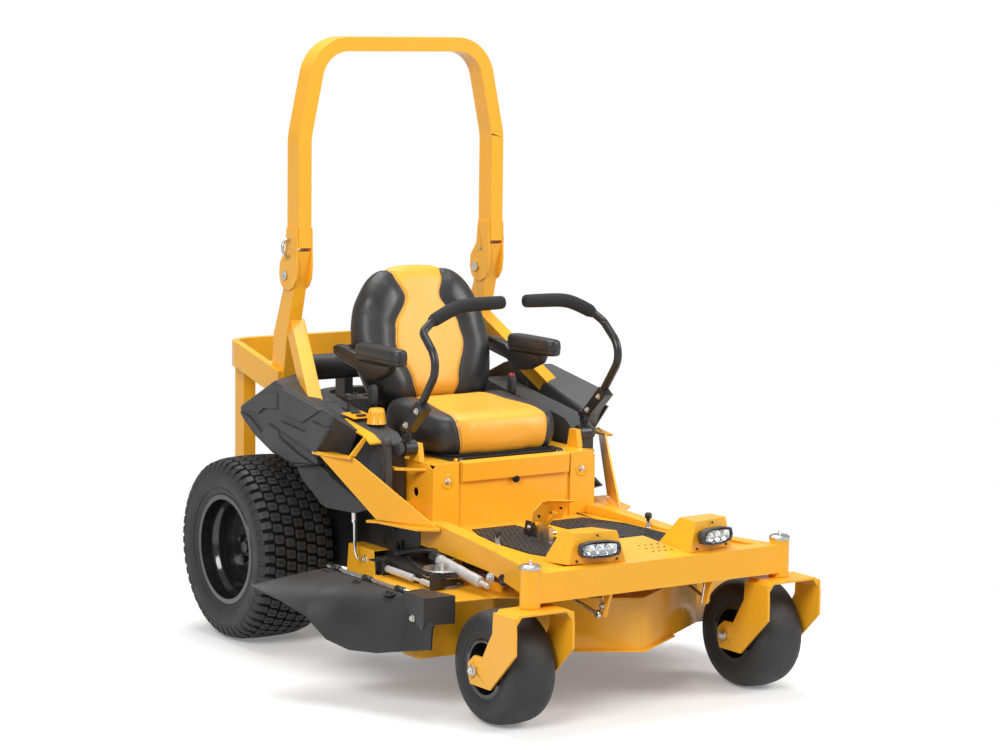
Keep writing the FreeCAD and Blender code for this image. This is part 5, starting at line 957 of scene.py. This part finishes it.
for word, side in (("left", 1), ("right", -1)):
    facing = (math.sin(side * LAMP_TOE), -math.cos(side * LAMP_TOE), 0)
    shell = smooth_ring([(-56, -24), (56, -24), (66, 0), (56, 24), (-56, 24), (-66, 0)], 1)
    points, faces = layered(shell,
                            [(-22, 0.9), (-14, 1.0), (0, 1.02), (5, 1.0), (7, 0.95), (6, 0.88), (0, 0.85)],
                            on_lamp(side))
    piece("lamp_housing_" + word, points, faces[:-1], plastic, "chassis",
          ["headlights"] if side > 0 else ())
    tray = smooth_ring([(-46, -15), (46, -15), (49, 0), (46, 15), (-46, 15), (-49, 0)], 1)
    points, faces = layered(tray, [(-6, 0.8), (-2, 1.1), (0.5, 1.14), (0.8, 1.02), (-5, 0.95), (-5.2, 0.9)],
                            on_lamp(side))
    piece("lamp_reflector_" + word, points, faces, mirror, "chassis")
    for n in (-1, 0, 1):
        turned_piece("lamp_cell_%s_%d" % (word, n + 1),
                     [(-5, 14), (0.5, 14.6), (0.5, 13.2), (-3.5, 8), (-3.6, 3)],
                     lamp_place(side, n * 30, 0, LAMP_Z), facing, mirror, "chassis", 32)
        turned_piece("lamp_chip_%s_%d" % (word, n + 1), [(-4, 6.0), (-2.4, 5.6), (-1.2, 4.0), (-0.6, 1.6)],
                     lamp_place(side, n * 30, 0, LAMP_Z), facing, emitter, "chassis", 20)
    points, faces = layered(tray, [(2.2, 1.12), (3.0, 1.16), (5.0, 1.16), (6.0, 1.12)],
                            on_lamp(side))
    piece("lamp_window_" + word, points, faces, clear, "chassis")
    for across in (-58, 58):
        turned_piece("lamp_screw_%s_%s" % (word, "a" if across < 0 else "b"),
                     [(4, 4.5), (7.5, 4.4), (8.2, 3.2)], lamp_place(side, across, 0, LAMP_Z), facing,
                     hub_black, "chassis", 20)

# ------------------------------------------------------------------ foot platform
# The yellow floor pan, folded up at its front into a pod behind each lamp with a stiffening sheet between
# them; rubber mats with rows of raised ovals lie on it, and a bump stop with a bright stem and a black tip
# stands at the outer edge of each mat.
def folded(name, corners, faces, thick, finish, body, stands_for=(), edge=0.0015):
    """Sheet metal: faces of shared corners (machine millimetres), given a thickness and rounded edges."""
    made = piece(name, [mower(*c) for c in corners], faces, finish, body, stands_for, smooth=True)
    sheet = made.modifiers.new("sheet", "SOLIDIFY")
    sheet.thickness, sheet.offset, sheet.use_even_offset = thick / 1000, -1, True
    bend = made.modifiers.new("edges", "BEVEL")
    bend.width, bend.segments, bend.limit_method, bend.angle_limit = edge, 3, "ANGLE", math.radians(20)
    tidy = made.modifiers.new("normals", "WEIGHTED_NORMAL")
    tidy.keep_sharp, tidy.weight = False, 60
    return made


floor_half = [(262, -735), (262, -760), (291, -1122), (374, -1448)]
outline = floor_half + [(-x, y) for x, y in reversed(floor_half)]
folded("floor_pan", [(x, y, 442) for x, y in outline], [tuple(range(len(outline)))], 3.8, yellow, "chassis",
       ["foot_platform"])
for word, side in (("left", 1), ("right", -1)):
    # a pod folded from the front sheet: a face toed out behind the lamp, a top that falls back, and two
    # cheeks
    corners = [lamp_place(side, -92 * side, -20, 453), lamp_place(side, 88 * side, -20, 453),
               lamp_place(side, 66 * side, -26, 542), lamp_place(side, -66 * side, -26, 542),
               (side * 158, -1362, 538), (side * 268, -1366, 540), (side * 118, -1300, 446),
               (side * 300, -1322, 446)]
    faces = [(0, 1, 2, 3), (3, 2, 5, 4), (4, 5, 7, 6), (1, 7, 5, 2), (0, 3, 4, 6)]
    if side < 0:
        faces = [tuple(reversed(face)) for face in faces]
    folded("pod_" + word, corners, faces, 3.5, yellow, "chassis", edge=0.005)
    for n in range(3):
        across = (-74, 0, 74)[n] * side
        turned_piece("pod_screw_%s_%d" % (word, n), [(0, 4), (1.2, 3.8), (1.8, 2.4)],
                     lamp_place(side, across * 0.86, -19, 533 if n == 1 else 462), (0, -1, 0.2), hub_black,
                     "chassis", 20)
# a stiffening sheet between the pods, with two rows of small round holes
folded("front_sheet", [(-116, -1452, 452), (116, -1452, 452), (112, -1250, 470), (-112, -1250, 470),
                       (112, -1226, 446), (-112, -1226, 446)], [(0, 1, 2, 3), (3, 2, 4, 5)], 3.0, yellow,
       "chassis", edge=0.003)
# each hole is a near-black disc of painted shade laid on the sheet
for row in range(3):
    for column in range(4):
        y = -1410 + row * 34
        turned_piece("sheet_hole_%d_%d" % (row, column), [(0, 3.6), (0.5, 3.6), (0.6, 2.8)],
                     (28 + column * 22, y, 452.2 + (y + 1452) * 18 / 202), (0, -0.09, 1), painted_hole_shade,
                     "chassis", 20)


def in_plan(x, y, corners):
    """Whether a point lies inside a polygon."""
    inside = False
    for (a, b), (c, d) in zip(corners, corners[1:] + corners[:1]):
        if (b > y) != (d > y) and x < a + (y - b) * (c - a) / (d - b):
            inside = not inside
    return inside


chrome = finish_of("bright_rod", (0.78, 0.78, 0.78), (0.66, 0.66, 0.66), rough=(0.08, 0.16),
                   patch=(30.0, 0.5), metallic=1.0)
mat_plan = [(56, -824), (198, -824), (252, -962), (262, -1208), (238, -1290), (124, -1290), (68, -1126)]
mat_rubber = finish_of("mat_rubber", (0.010, 0.010, 0.011), (0.017, 0.017, 0.018), rough=(0.5, 0.65),
                       patch=(16.0, 0.6), grain=(600.0, 0.25))
# a second, wider bevel on top of the first softens the corners that are left
dress("foot_mats", mat_rubber, 0.002)
for word, side in (("left", 1), ("right", -1)):
    points, faces = [], []
    for row in range(30):
        for column in range(14):
            x, y = 50 + column * 16 + (row % 2) * 8, -1286 + row * 16
            # no ovals under the foot plate of the lift pedal, on the right mat
            if not in_plan(x, y, mat_plan) or (side < 0 and abs(x - 118) < 40 and abs(y + 1080) < 56):
                continue
            start = len(points)
            turn = math.radians(45 if (row + column) % 2 else -45)
            for share, lift in ((1.0, -0.6), (0.92, 1.8), (0.66, 2.5)):
                for n in range(12):
                    angle = 2 * math.pi * n / 12
                    a, b = 5.6 * share * math.cos(angle), 2.4 * share * math.sin(angle)
                    points.append(mower(side * (x + a * math.cos(turn) - b * math.sin(turn)),
                                        y + a * math.sin(turn) + b * math.cos(turn), 448 + lift))
            faces += ring_faces(3, 12, start)
            faces.append(tuple(start + 24 + n for n in range(12)))
    piece("mat_pattern_" + word, points, faces, mat_rubber, "chassis")
    if side > 0:
        # a raised heel pad moulded on the left mat; the lift pedal takes its place on the right one
        heel = smooth_ring([(-62, -100), (40, -130), (82, -30), (56, 110), (-40, 120), (-66, 40)], 2)
        points, faces = layered(heel, [(447, 1.0), (452, 0.98), (454, 0.94), (454.5, 0.9)],
                                lambda x, y, z, share: mower(150 + x, -1050 + y * share, z))
        piece("heel_pad_" + word, points, faces, mat_rubber, "chassis")
    turned_piece("stop_stem_" + word, [(0, 9), (4, 9), (4.5, 6), (34, 6)], (side * 276, -1055, 446),
                 (0, 0, 1), chrome, "chassis")
    turned_piece("stop_tip_" + word, [(0, 8), (2, 10.5), (12, 11), (17, 8), (18, 3)],
                 (side * 276, -1055, 476), (0, 0, 1), rubber, "chassis")

# ------------------------------------------------------------------ springs, rods and hoses
# Between the frame and the deck: a plated strut on each side, bright rods that hang and link the deck and
# work the parking brake, and the black hoses that loop back to the drives.
plated = finish_of("plated_tube", (0.60, 0.60, 0.60), (0.46, 0.46, 0.46), rough=(0.28, 0.4),
                   patch=(60.0, 0.6), metallic=0.3)
hose_rubber = finish_of("hose_rubber", (0.016, 0.016, 0.017), (0.028, 0.028, 0.029), rough=(0.45, 0.6),
                        patch=(40.0, 0.5), grain=(700.0, 0.2))
STRUT_X = 376
for word, side in (("left", 1), ("right", -1)):
    tube("strut_" + word, smooth_line([(side * STRUT_X, -880, 388), (side * STRUT_X, -1000, 372),
                                       (side * STRUT_X, -1116, 357)], 40),
         lambda share: 16.0 + 1.2 * math.sin(share * 260), plated, "chassis", 28, 0.3)
    tube("strut_collar_" + word,
         smooth_line([(side * STRUT_X, -868, 389.6), (side * STRUT_X, -884, 387.5),
                      (side * STRUT_X, -900, 385.4)], 3),
         19.0, hub_black, "chassis", 28, 0.3)
    tube("strut_rod_" + word,
         smooth_line([(side * STRUT_X, -1112, 357.5), (side * STRUT_X, -1136, 354),
                      (side * STRUT_X, -1160, 351)], 3),
         8.0, plated, "chassis", 20, 0.3)
    bolt("strut_bolt_" + word, (side * 378, -1174, 380), (side, -0.22, 0), 11, plated, "chassis")
    turned_piece("rail_grommet_" + word, [(0, 17), (3, 17), (4, 15), (3, 10), (1, 9)],
                 (side * STRUT_X, -1236, 384), (side, -0.22, 0), hose_rubber, "chassis")
    tube("link_rod_" + word, smooth_line([(side * 212, -1296, 338), (side * 206, -1370, 326),
                                          (side * 196, -1446, 306)], 4),
         5.5, chrome, "chassis", 20, 0.4)
    turned_piece("link_eye_" + word, [(-7, 6), (-7, 11), (7, 11), (7, 6)], (side * 194, -1449, 305),
                 (1, 0, 0), zinc, "chassis")
    tube("hang_rod_" + word, smooth_line([(side * 182, -1459, 356), (side * 182, -1455, 330),
                                          (side * 182, -1447, 300)], 3),
         6.0, chrome, "chassis", 20, 0.4)
    bolt("hang_bolt_" + word, (side * 187, -1462, 330), (side, 0, 0), 8, zinc, "chassis")
tube("park_rod", smooth_line([(-352, -372, 436), (-352, -377, 360), (-351, -383, 292)], 4), 6.5, chrome,
     "chassis", 20, 0.4)

low_hoses = (("hose_a", [(-300, -560, 388), (-352, -600, 352), (-372, -700, 372), (-352, -790, 398),
                         (-300, -820, 386)], 8.0),
             ("hose_b", [(-262, -520, 380), (-300, -600, 366), (-330, -720, 384), (-322, -860, 384),
                         (-262, -900, 380)], 6.0),
             ("hose_c", [(262, -520, 380), (330, -600, 360), (352, -720, 378), (322, -860, 384),
                         (262, -900, 380)], 7.0))
for name, route, size in low_hoses:
    tube(name, smooth_line(route, 8), size, hose_rubber, "chassis", 18, 0.2)

# ------------------------------------------------------------------ belt buckle and cover bolts
# The seat's belt comes up on both sides of the cushion: a black shell on a woven strap, with a red push
# button on the left; two dark bolts sit in the tower's front.
red = finish_of("red_button", (0.62, 0.015, 0.012), (0.5, 0.012, 0.01), rough=(0.28, 0.38), coat=0.3)
for word, side in (("left", 1), ("right", -1)):
    outline = smooth_ring([(-15, -30), (15, -30), (17, 10), (13, 34), (-13, 34), (-17, 10)], 2)
    points, faces = layered(outline, [(-10, 0.9), (-8, 1.0), (8, 1.0), (10, 0.9)],
                            lambda a, b, depth, share: mower(side * (262 + depth), -330 + a * share,
                                                             800 + b * share))
    piece("buckle_" + word, points, faces, plastic, "seat")
    if side > 0:
        outline = smooth_ring([(-11, -9), (11, -9), (11, 9), (-11, 9)], 2)
        points, faces = layered(outline, [(-8, 0.9), (-6, 1.0), (8, 1.0), (9.4, 0.85)],
                                lambda a, b, lift, share: mower(side * 262 + a * 0.8 * share,
                                                                -330 + b * share * 1.1, 830 + lift))
        piece("buckle_button_" + word, points, faces, red, "seat")
    # woven strap down to the seat's plate
    points = [mower(side * (262 + a), y + b, z)
              for y, z in ((-330, 776), (-326, 730), (-322, 676), (-324, 660))
              for a, b in ((-1.2, -22), (1.2, -22), (1.2, 22), (-1.2, 22))]
    faces = ring_faces(4, 4) + [(3, 2, 1, 0), (12, 13, 14, 15)]
    piece("strap_" + word, points, faces, rubber, "seat", smooth=False)
for n, x in enumerate((150, -150)):
    bolt("cover_bolt_%d" % n, (x, -739, 622), (0, -1, 0), 6.5, hub_black, "chassis")

# ------------------------------------------------------------------ discharge chute
# A flap of thick, stiff rubber hangs from a rod on the deck's side; it lies level at the back and curls
# down towards the front, where a black formed bracket with a bolted tab shields its corner.
chute_rubber = finish_of("chute_rubber", (0.017, 0.017, 0.0175), (0.026, 0.026, 0.027), rough=(0.46, 0.62),
                         patch=(9.0, 0.6), grain=(420.0, 0.25))
chute_lines = (  # along the hinge: where the flap is, how far out its fold is, and its edge
    (-640, (-720, 331), (-800, 322), (-868, 312)), (-740, (-716, 331), (-782, 317), (-822, 282)),
    (-820, (-708, 330), (-768, 306), (-786, 246)), (-880, (-700, 329), (-742, 292), (-752, 186)),
    (-950, (-686, 328), (-718, 280), (-716, 164)), (-1050, (-650, 328), (-682, 276), (-682, 170)),
    (-1120, (-621, 324), (-628, 270), (-650, 184)), (-1238, (-615, 290), (-618, 250), (-620, 208)))


def bent(t, a, b, c, d):
    """A value on the curve that leaves a towards b and comes to d from c."""
    return (1 - t) ** 3 * a + 3 * (1 - t) ** 2 * t * b + 3 * (1 - t) * t * t * c + t ** 3 * d


points, faces = [], []
steps_along, steps_across = 42, 20
for n in range(steps_along + 1):
    place_along = n / steps_along * (len(chute_lines) - 1)
    k = min(int(place_along), len(chute_lines) - 2)
    share = place_along - k
    share = share * share * (3 - 2 * share) * 0.35 + share * 0.65
    row = []
    for field in range(3):
        a, b = chute_lines[k][field + 1], chute_lines[k + 1][field + 1]
        row.append((a[0] + (b[0] - a[0]) * share, a[1] + (b[1] - a[1]) * share))
    y = chute_lines[k][0] + (chute_lines[k + 1][0] - chute_lines[k][0]) * share
    (x1, z1), (x2, z2), (x3, z3) = row
    # in front of the hinge the flap's root runs down along the deck's side
    ahead = max(0, -1100 - y)
    x0, z0 = -614 + ahead * 0.02, 338 - ahead * 0.48
    for m in range(steps_across + 1):
        t = m / steps_across
        points.append(mower(bent(t, x0, x1, x2, x3), y, bent(t, z0, z1, z2, z3)))
for n in range(steps_along):
    for m in range(steps_across):
        a = n * (steps_across + 1) + m
        faces.append((a, a + 1, a + steps_across + 2, a + steps_across + 1))
flap = piece("chute_flap", points, faces, chute_rubber, "chute", ["discharge_chute"])
sheet = flap.modifiers.new("sheet", "SOLIDIFY")
sheet.thickness, sheet.offset = 0.006, 0
soft_edge = flap.modifiers.new("edges", "BEVEL")
soft_edge.width, soft_edge.segments, soft_edge.limit_method = 0.0022, 3, "ANGLE"
for n, y in enumerate((-680, -860, -1040)):
    turned_piece("chute_knuckle_%d" % n, [(-20, 5.6), (-20, 9), (20, 9), (20, 5.6)], (-600, y, 346),
                 (0, 1, 0), black, "chute", 28)
    folded("chute_strap_%d" % n,
           [(-606, y - 20, 342), (-606, y + 20, 342), (-652, y + 20, 336), (-652, y - 20, 336)],
           [(0, 1, 2, 3)], 3, black, "chute")
    for m in (-1, 1):
        bolt("chute_rivet_%d_%s" % (n, "a" if m < 0 else "b"), (-636, y + m * 11, 339), (-0.1, 0, 1), 5,
             hub_black, "chute")
# the bracket: a lid over the deck's edge, a tab down the side, a face turned across in front, and its bolt
folded("chute_guard", [(-626, -1094, 352), (-626, -1206, 352), (-626, -1206, 272), (-626, -1196, 252),
                       (-626, -1146, 256), (-626, -1128, 292), (-626, -1104, 318), (-532, -1226, 354),
                       (-532, -1226, 272), (-560, -1094, 354)],
       [(6, 5, 4, 3, 2, 1, 0), (1, 2, 8, 7), (0, 1, 7, 9)], 4, black, "deck", ["chute_bracket"], edge=0.003)
bolt("guard_bolt", (-627, -1150, 284), (-1, 0, 0), 8, pale_bolt, "deck")
folded("hinge_plate", [(-560, -640, 325), (-560, -1094, 325), (-604, -1094, 325), (-604, -640, 325),
                       (-604, -1094, 338), (-604, -640, 338)], [(0, 3, 2, 1), (3, 5, 4, 2)], 4, black,
       "deck", edge=0.002)
tube("hinge_rod", smooth_line([(-600, -632, 346), (-600, -860, 346), (-600, -1094, 346)], 4), 5.2, zinc,
     "deck", 20, 0.2)

# ------------------------------------------------------------------ belt covers and idler
# Flat black sheet covers, folded down at the outside, lie over the deck's two outer pulleys, with a plated
# damper between two ears outside each; on the right are a coil spring, the idler arm it pulls and a folded
# black stay.
DAMPER_X = 470
for word, side in (("left", 1), ("right", -1)):
    corners = [(side * 452, -661, 326), (side * 452, -1018, 326), (side * 452, -1018, 360),
               (side * 452, -661, 363), (side * 378, -661, 363), (side * 384, -1004, 360),
               (side * 378, -661, 330), (side * 384, -1004, 330)]
    faces = [(0, 1, 2, 3), (3, 2, 5, 4), (0, 3, 4, 6), (1, 7, 5, 2)]
    if side > 0:
        faces = [tuple(reversed(face)) for face in faces]
    folded("belt_cover_" + word, corners, faces, 2.5, black, "deck", edge=0.003)
    for n, y in enumerate((-700, -840, -980)):
        bolt("cover_screw_%s_%d" % (word, n), (side * 430, y, 362.5), (0, 0, 1), 5, hub_black, "deck")
    tube("damper_" + word, smooth_line([(side * DAMPER_X, -760, 344), (side * DAMPER_X, -870, 342),
                                        (side * DAMPER_X, -900, 341)], 4), 11.0,
         plated, "deck", 24, 0.3)
    tube("damper_rod_" + word,
         smooth_line([(side * DAMPER_X, -890, 341), (side * DAMPER_X, -950, 340),
                      (side * DAMPER_X, -985, 339)], 4), 5.0,
         plated, "deck", 20, 0.3)
    tube("damper_end_" + word,
         smooth_line([(side * DAMPER_X, -950, 340), (side * DAMPER_X, -985, 339),
                      (side * DAMPER_X, -1010, 338)], 4), 9.0,
         plated, "deck", 24, 0.3)
    for n, y in enumerate((-752, -1016)):
        folded("damper_ear_%s_%d" % (word, n),
               [(side * 452, y, 324), (side * 486, y, 324), (side * 486, y, 372),
                                               (side * DAMPER_X, y, 378), (side * 452, y, 362)],
               [(0, 1, 2, 3, 4)], 4, black, "deck")
COIL_STEPS, COIL_TURNS, COIL_RADIUS = 480, 24, 0.011
coil = []
for n in range(COIL_STEPS):
    t = n / (COIL_STEPS - 1)
    turn = t * 2 * math.pi * COIL_TURNS
    coil.append(mower(-250 - t * 110, -786 - t * 64, 350)
                + Vector((0, math.cos(turn) * COIL_RADIUS, math.sin(turn) * COIL_RADIUS)))
tube("idler_spring", coil, 1.8, zinc, "deck", 10, 0)
folded("idler_arm", [(-356, -880, 340), (-330, -880, 340), (-262, -792, 340), (-274, -772, 340)],
       [(0, 1, 2, 3)], 6, black, "deck")
folded("deck_stay", [(-470, -690, 352), (-300, -700, 352), (-300, -700, 326), (-470, -690, 326),
                     (-470, -650, 352), (-300, -660, 352)], [(0, 1, 2, 3), (4, 5, 1, 0)], 4, black, "deck")

# ------------------------------------------------------------------ seat tower
# The tower's front is closed by three folded sheets: a cover that stands proud with its upper edge turned
# back, and a wing at each side with a bolt in a dimple; under the cover's lower edge a near-black disc of
# painted shade stands for a notch.
folded("tower_cover", [(-198, -748, 582), (198, -748, 582), (198, -751, 640), (-198, -751, 640),
                       (198, -726, 645), (-198, -726, 645)], [(0, 1, 2, 3), (3, 2, 4, 5)], 3, yellow,
       "chassis", edge=0.004)
for word, side in (("left", 1), ("right", -1)):
    corners = [(side * 206, -742, 446), (side * 300, -742, 446), (side * 300, -742, 628),
               (side * 284, -742, 642), (side * 206, -742, 642), (side * 300, -700, 446),
               (side * 300, -700, 634)]
    faces = [(0, 1, 2, 3, 4), (1, 5, 6, 2)]
    if side < 0:
        faces = [tuple(reversed(face)) for face in faces]
    folded("tower_wing_" + word, corners, faces, 3, yellow, "chassis", edge=0.004)
    turned_piece("tower_dimple_" + word, [(0, 24), (1.6, 21), (2.0, 17), (0.6, 13), (0.4, 10)],
                 (side * 249, -742, 587), (0, -1, 0), yellow, "chassis", 36)
    bolt("tower_bolt_" + word, (side * 249, -742.5, 587), (0, -1, 0), 7.5, pale_bolt, "chassis")
# the notch: a near-black disc of painted shade
turned_piece("tower_notch", [(0, 13), (4, 12), (6, 8), (6.4, 3)], (0, -744, 577), (0, -1, 0.2), painted_hole_shade,
             "chassis", 28)

# ------------------------------------------------------------------ lift pedal
# A yellow plate arm turns on a bolt in a black bracket on the floor and carries a foot plate folded over at
# the top, with three round holes.
folded("pedal_arm", [(-92, -1000, 452), (-92, -964, 462), (-92, -1012, 500), (-92, -1066, 540),
                     (-92, -1084, 528), (-92, -1040, 486)], [(0, 5, 2, 1), (5, 4, 3, 2)], 14, yellow,
       "pedal", ["lift_pedal"], edge=0.004)
folded("pedal_plate", [(-148, -1046, 498), (-100, -1040, 500), (-48, -1062, 506), (-36, -1076, 552),
                       (-130, -1070, 560), (-152, -1062, 536), (-44, -1120, 566), (-134, -1116, 574)],
       [(0, 1, 2, 3, 4, 5), (4, 3, 6, 7)], 4, yellow, "pedal", edge=0.004)
# the three holes are near-black discs of painted shade on the foot plate
for n, (x, z) in enumerate(((-134, 520), (-92, 528), (-60, 540))):
    turned_piece("pedal_hole_%d" % n, [(0, 5), (0.6, 5), (0.8, 4)], (x, -1063 + (z - 520) * -0.35, z),
                 (0, -0.94, 0.34), painted_hole_shade, "pedal", 20)
folded("pedal_bracket", [(-108, -1020, 448), (-108, -950, 448), (-108, -962, 492), (-108, -1008, 492)],
       [(0, 1, 2, 3)], 5, black, "chassis", edge=0.003)
bolt("pedal_bolt", (-109, -984, 472), (-1, 0, 0), 9, pale_bolt, "chassis")

# ------------------------------------------------------------------ hand controls
# On the right console: the yellow fluted blade switch knob, a yellow plate with two black oval grommets
# behind it, and a black domed cover with slots further back.
points = []
rings = [(738, 30, 0.0), (742, 30, 0.14), (772, 26, 0.14), (782, 24, 0.12), (786, 19, 0.06)]
for z, r, flute in rings:
    for n in range(64):
        angle = 2 * math.pi * n / 64
        reach = r * (1 - flute * (0.5 + 0.5 * math.cos(8 * angle)))
        points.append(mower(-343 + reach * math.cos(angle), -484 + reach * math.sin(angle), z))
faces = ring_faces(len(rings), 64)
faces.append(tuple(range(4 * 64, 5 * 64)))
piece("switch_knob", points, faces, yellow, "knob", ["pto_knob"])
folded("console_plate", [(-318, -440, 752), (-396, -440, 752), (-404, -376, 762), (-330, -372, 764)],
       [(3, 2, 1, 0)], 4, yellow, "chassis", edge=0.002)
for n, y in enumerate((-424, -392)):
    oval = smooth_ring([(-17, -9), (17, -9), (17, 9), (-17, 9)], 3)
    points, faces = layered(oval, [(0, 1.0), (3, 0.98), (4, 0.9), (2, 0.6), (0.4, 0.5)],
                            lambda x, b, lift, share: mower(-362 + x, y + b * share, 756 + lift + n * 5))
    piece("console_grommet_%d" % n, points, faces, rubber, "chassis")
points = []
for z, r in ((742, 46), (752, 46), (766, 42), (778, 33), (784, 20), (786, 6)):
    for n in range(72):
        angle = 2 * math.pi * n / 72
        reach = r * (0.95 if z in (766, 778) and n % 6 < 3 else 1.0)
        points.append(mower(-352 + reach * math.cos(angle), -190 + reach * 1.3 * math.sin(angle), z))
faces = ring_faces(6, 72)
faces.append(tuple(range(5 * 72, 6 * 72)))
piece("console_dome", points, faces, plastic, "chassis", smooth=False)

# ------------------------------------------------------------------ under guards
# Black sheet guards hang inside the rails and close the space between the hydraulic drives and the deck;
# beside each stands the yellow foot of the drive's mount, with the plated rod that stays the fender bolted
# to it.
folded("rear_guard", [(-330, -610, 250), (330, -610, 250), (330, -610, 392), (-330, -610, 392)],
       [(0, 1, 2, 3)], 3, black, "chassis", edge=0.002)
for word, side in (("left", 1), ("right", -1)):
    corners = [(side * 318, -60, 452), (side * 318, -700, 452), (side * 318, -700, 352),
               (side * 318, -618, 262), (side * 318, -240, 250), (side * 318, -90, 250),
               (side * 236, -700, 452), (side * 236, -700, 352), (side * 214, -1000, 440),
               (side * 214, -1000, 350)]
    faces = [(0, 1, 2, 3, 4, 5), (1, 6, 7, 2), (6, 8, 9, 7)]
    if side > 0:
        faces = [tuple(reversed(face)) for face in faces]
    folded("under_guard_" + word, corners, faces, 3, black, "chassis", edge=0.004)
    for n, (y, z) in enumerate(((-560, 420), (-600, 380), (-500, 372))):
        bolt("guard_screw_%s_%d" % (word, n), (side * 319, y, z), (side, 0, 0), 8, hub_black, "chassis")
    folded("mount_foot_" + word, [(side * 368, -372, 346), (side * 368, -520, 346), (side * 368, -530, 262),
                                  (side * 368, -360, 262), (side * 300, -372, 346),
                                  (side * 300, -520, 346)],
           [(0, 1, 2, 3), (0, 4, 5, 1)] if side < 0 else [(3, 2, 1, 0), (1, 5, 4, 0)], 5, yellow, "chassis",
           edge=0.003)
    tube("stay_rod_" + word, smooth_line([(side * 400, -449, 470), (side * 400, -452, 400),
                                          (side * 400, -456, 336), (side * 392, -460, 318)], 8), 5.0,
         chrome, "chassis", 20, 0.3)
    tube("stay_collar_" + word,
         smooth_line([(side * 400, -448, 474), (side * 400, -449, 452), (side * 400, -450, 432)], 4), 9.0,
         chrome, "chassis", 24, 0.3)
    bolt("stay_bolt_" + word, (side * 372, -470, 316), (side, 0, 0), 9, pale_bolt, "chassis")

# ------------------------------------------------------------------ fenders
# Each fender is a vacuum-formed shell of dark grey plastic in two levels: a long wing that follows the tyre
# from behind and runs down into a skirt, and on it a raised pod with pressed panels and a flat nose over
# the brace.
fender_plastic = finish_of("fender_plastic", (0.040, 0.040, 0.041), (0.058, 0.058, 0.059),
                           rough=(0.44, 0.56), patch=(5.0, 0.45), grain=(1100.0, 0.28), depth=0.0006)


def shaped(name, outer, inner, soft, stands_for=()):
    """A closed shell between two outlines of as many corners, with softly rounded edges."""
    points = [mower(*p) for p in outer + inner]
    made = piece(name, points, slab_faces(len(outer)), fender_plastic, "chassis", stands_for)
    sign = bmesh.new()
    sign.from_mesh(made.data)
    bmesh.ops.recalc_face_normals(sign, faces=sign.faces)
    sign.to_mesh(made.data)
    sign.free()
    bend = made.modifiers.new("edges", "BEVEL")
    bend.width, bend.segments, bend.limit_method, bend.angle_limit = soft, 4, "ANGLE", math.radians(12)
    tidy = made.modifiers.new("normals", "WEIGHTED_NORMAL")
    tidy.keep_sharp, tidy.weight = False, 60
    return made


def upright(x, outline):
    """The corners of an upright outline at a distance from the centre plane."""
    return [(x, y, z) for y, z in outline]


for word, side in (("left", 1), ("right", -1)):
    wing = [(91, 729), (64, 698), (-12, 648), (-121, 609), (-277, 584), (-400, 612), (-392, 640),
            (-200, 720), (-190, 832), (-130, 839), (-52, 799)]
    rise = [50, 46, 20, 4, 0, 0, 0, 0, 8, 20, 40]
    shaped("fender_wing_" + word, upright(side * 507, wing),
           [(side * 415, y, z + up) for (y, z), up in zip(wing, rise)], 0.009,
           ["fenders"] if side > 0 else ())
    pod = [(-186, 842), (-522, 784), (-506, 756), (-422, 637), (-190, 690)]
    shaped("fender_pod_" + word, upright(side * 522, pod),
           [(side * 420, -150, 842), (side * 424, -524, 723), (side * 424, -506, 700),
            (side * 424, -454, 624), (side * 420, -190, 690)],
           0.010)
    # pressed panels: the gaps between them read as the recesses
    for n, (x, panel) in enumerate((
            (523, [(-212, 832), (-462, 789), (-347, 732), (-213, 747)]),
            (523, [(-200, 724), (-366, 709), (-413, 751), (-508, 737), (-430, 648), (-200, 696)]),
            (508, [(70, 732), (-48, 789), (-168, 812), (-168, 756), (-84, 748), (-44, 724), (-27, 728),
                   (36, 724)]),
            (508, [(84, 722), (58, 699), (-14, 656), (-121, 618), (-262, 592), (-396, 608), (-300, 630),
                   (-176, 668), (-166, 690), (-106, 706), (-62, 668), (26, 714)]))):
        centre = (sum(a for a, b in panel) / len(panel), sum(b for a, b in panel) / len(panel))
        inset = [(a + (centre[0] - a) * 0.05, b + (centre[1] - b) * 0.09) for a, b in panel]
        shaped("fender_panel_%s_%d" % (word, n), upright(side * (x + 6), inset),
               upright(side * (x - 6), panel), 0.003)
    shaped("fender_skirt_" + word,
           [(side * x, y, z) for x, y, z in ((500, -262, 586), (496, -292, 546), (490, -352, 512),
                                             (484, -386, 482), (478, -412, 474), (446, -524, 472),
                                             (440, -604, 496), (462, -392, 574), (484, -372, 604))],
           [(side * x, y, z) for x, y, z in ((478, -262, 590), (474, -290, 552), (470, -348, 518),
                                             (464, -380, 490), (458, -408, 482), (428, -524, 478),
                                             (424, -600, 500), (440, -392, 580), (462, -372, 608))], 0.006)
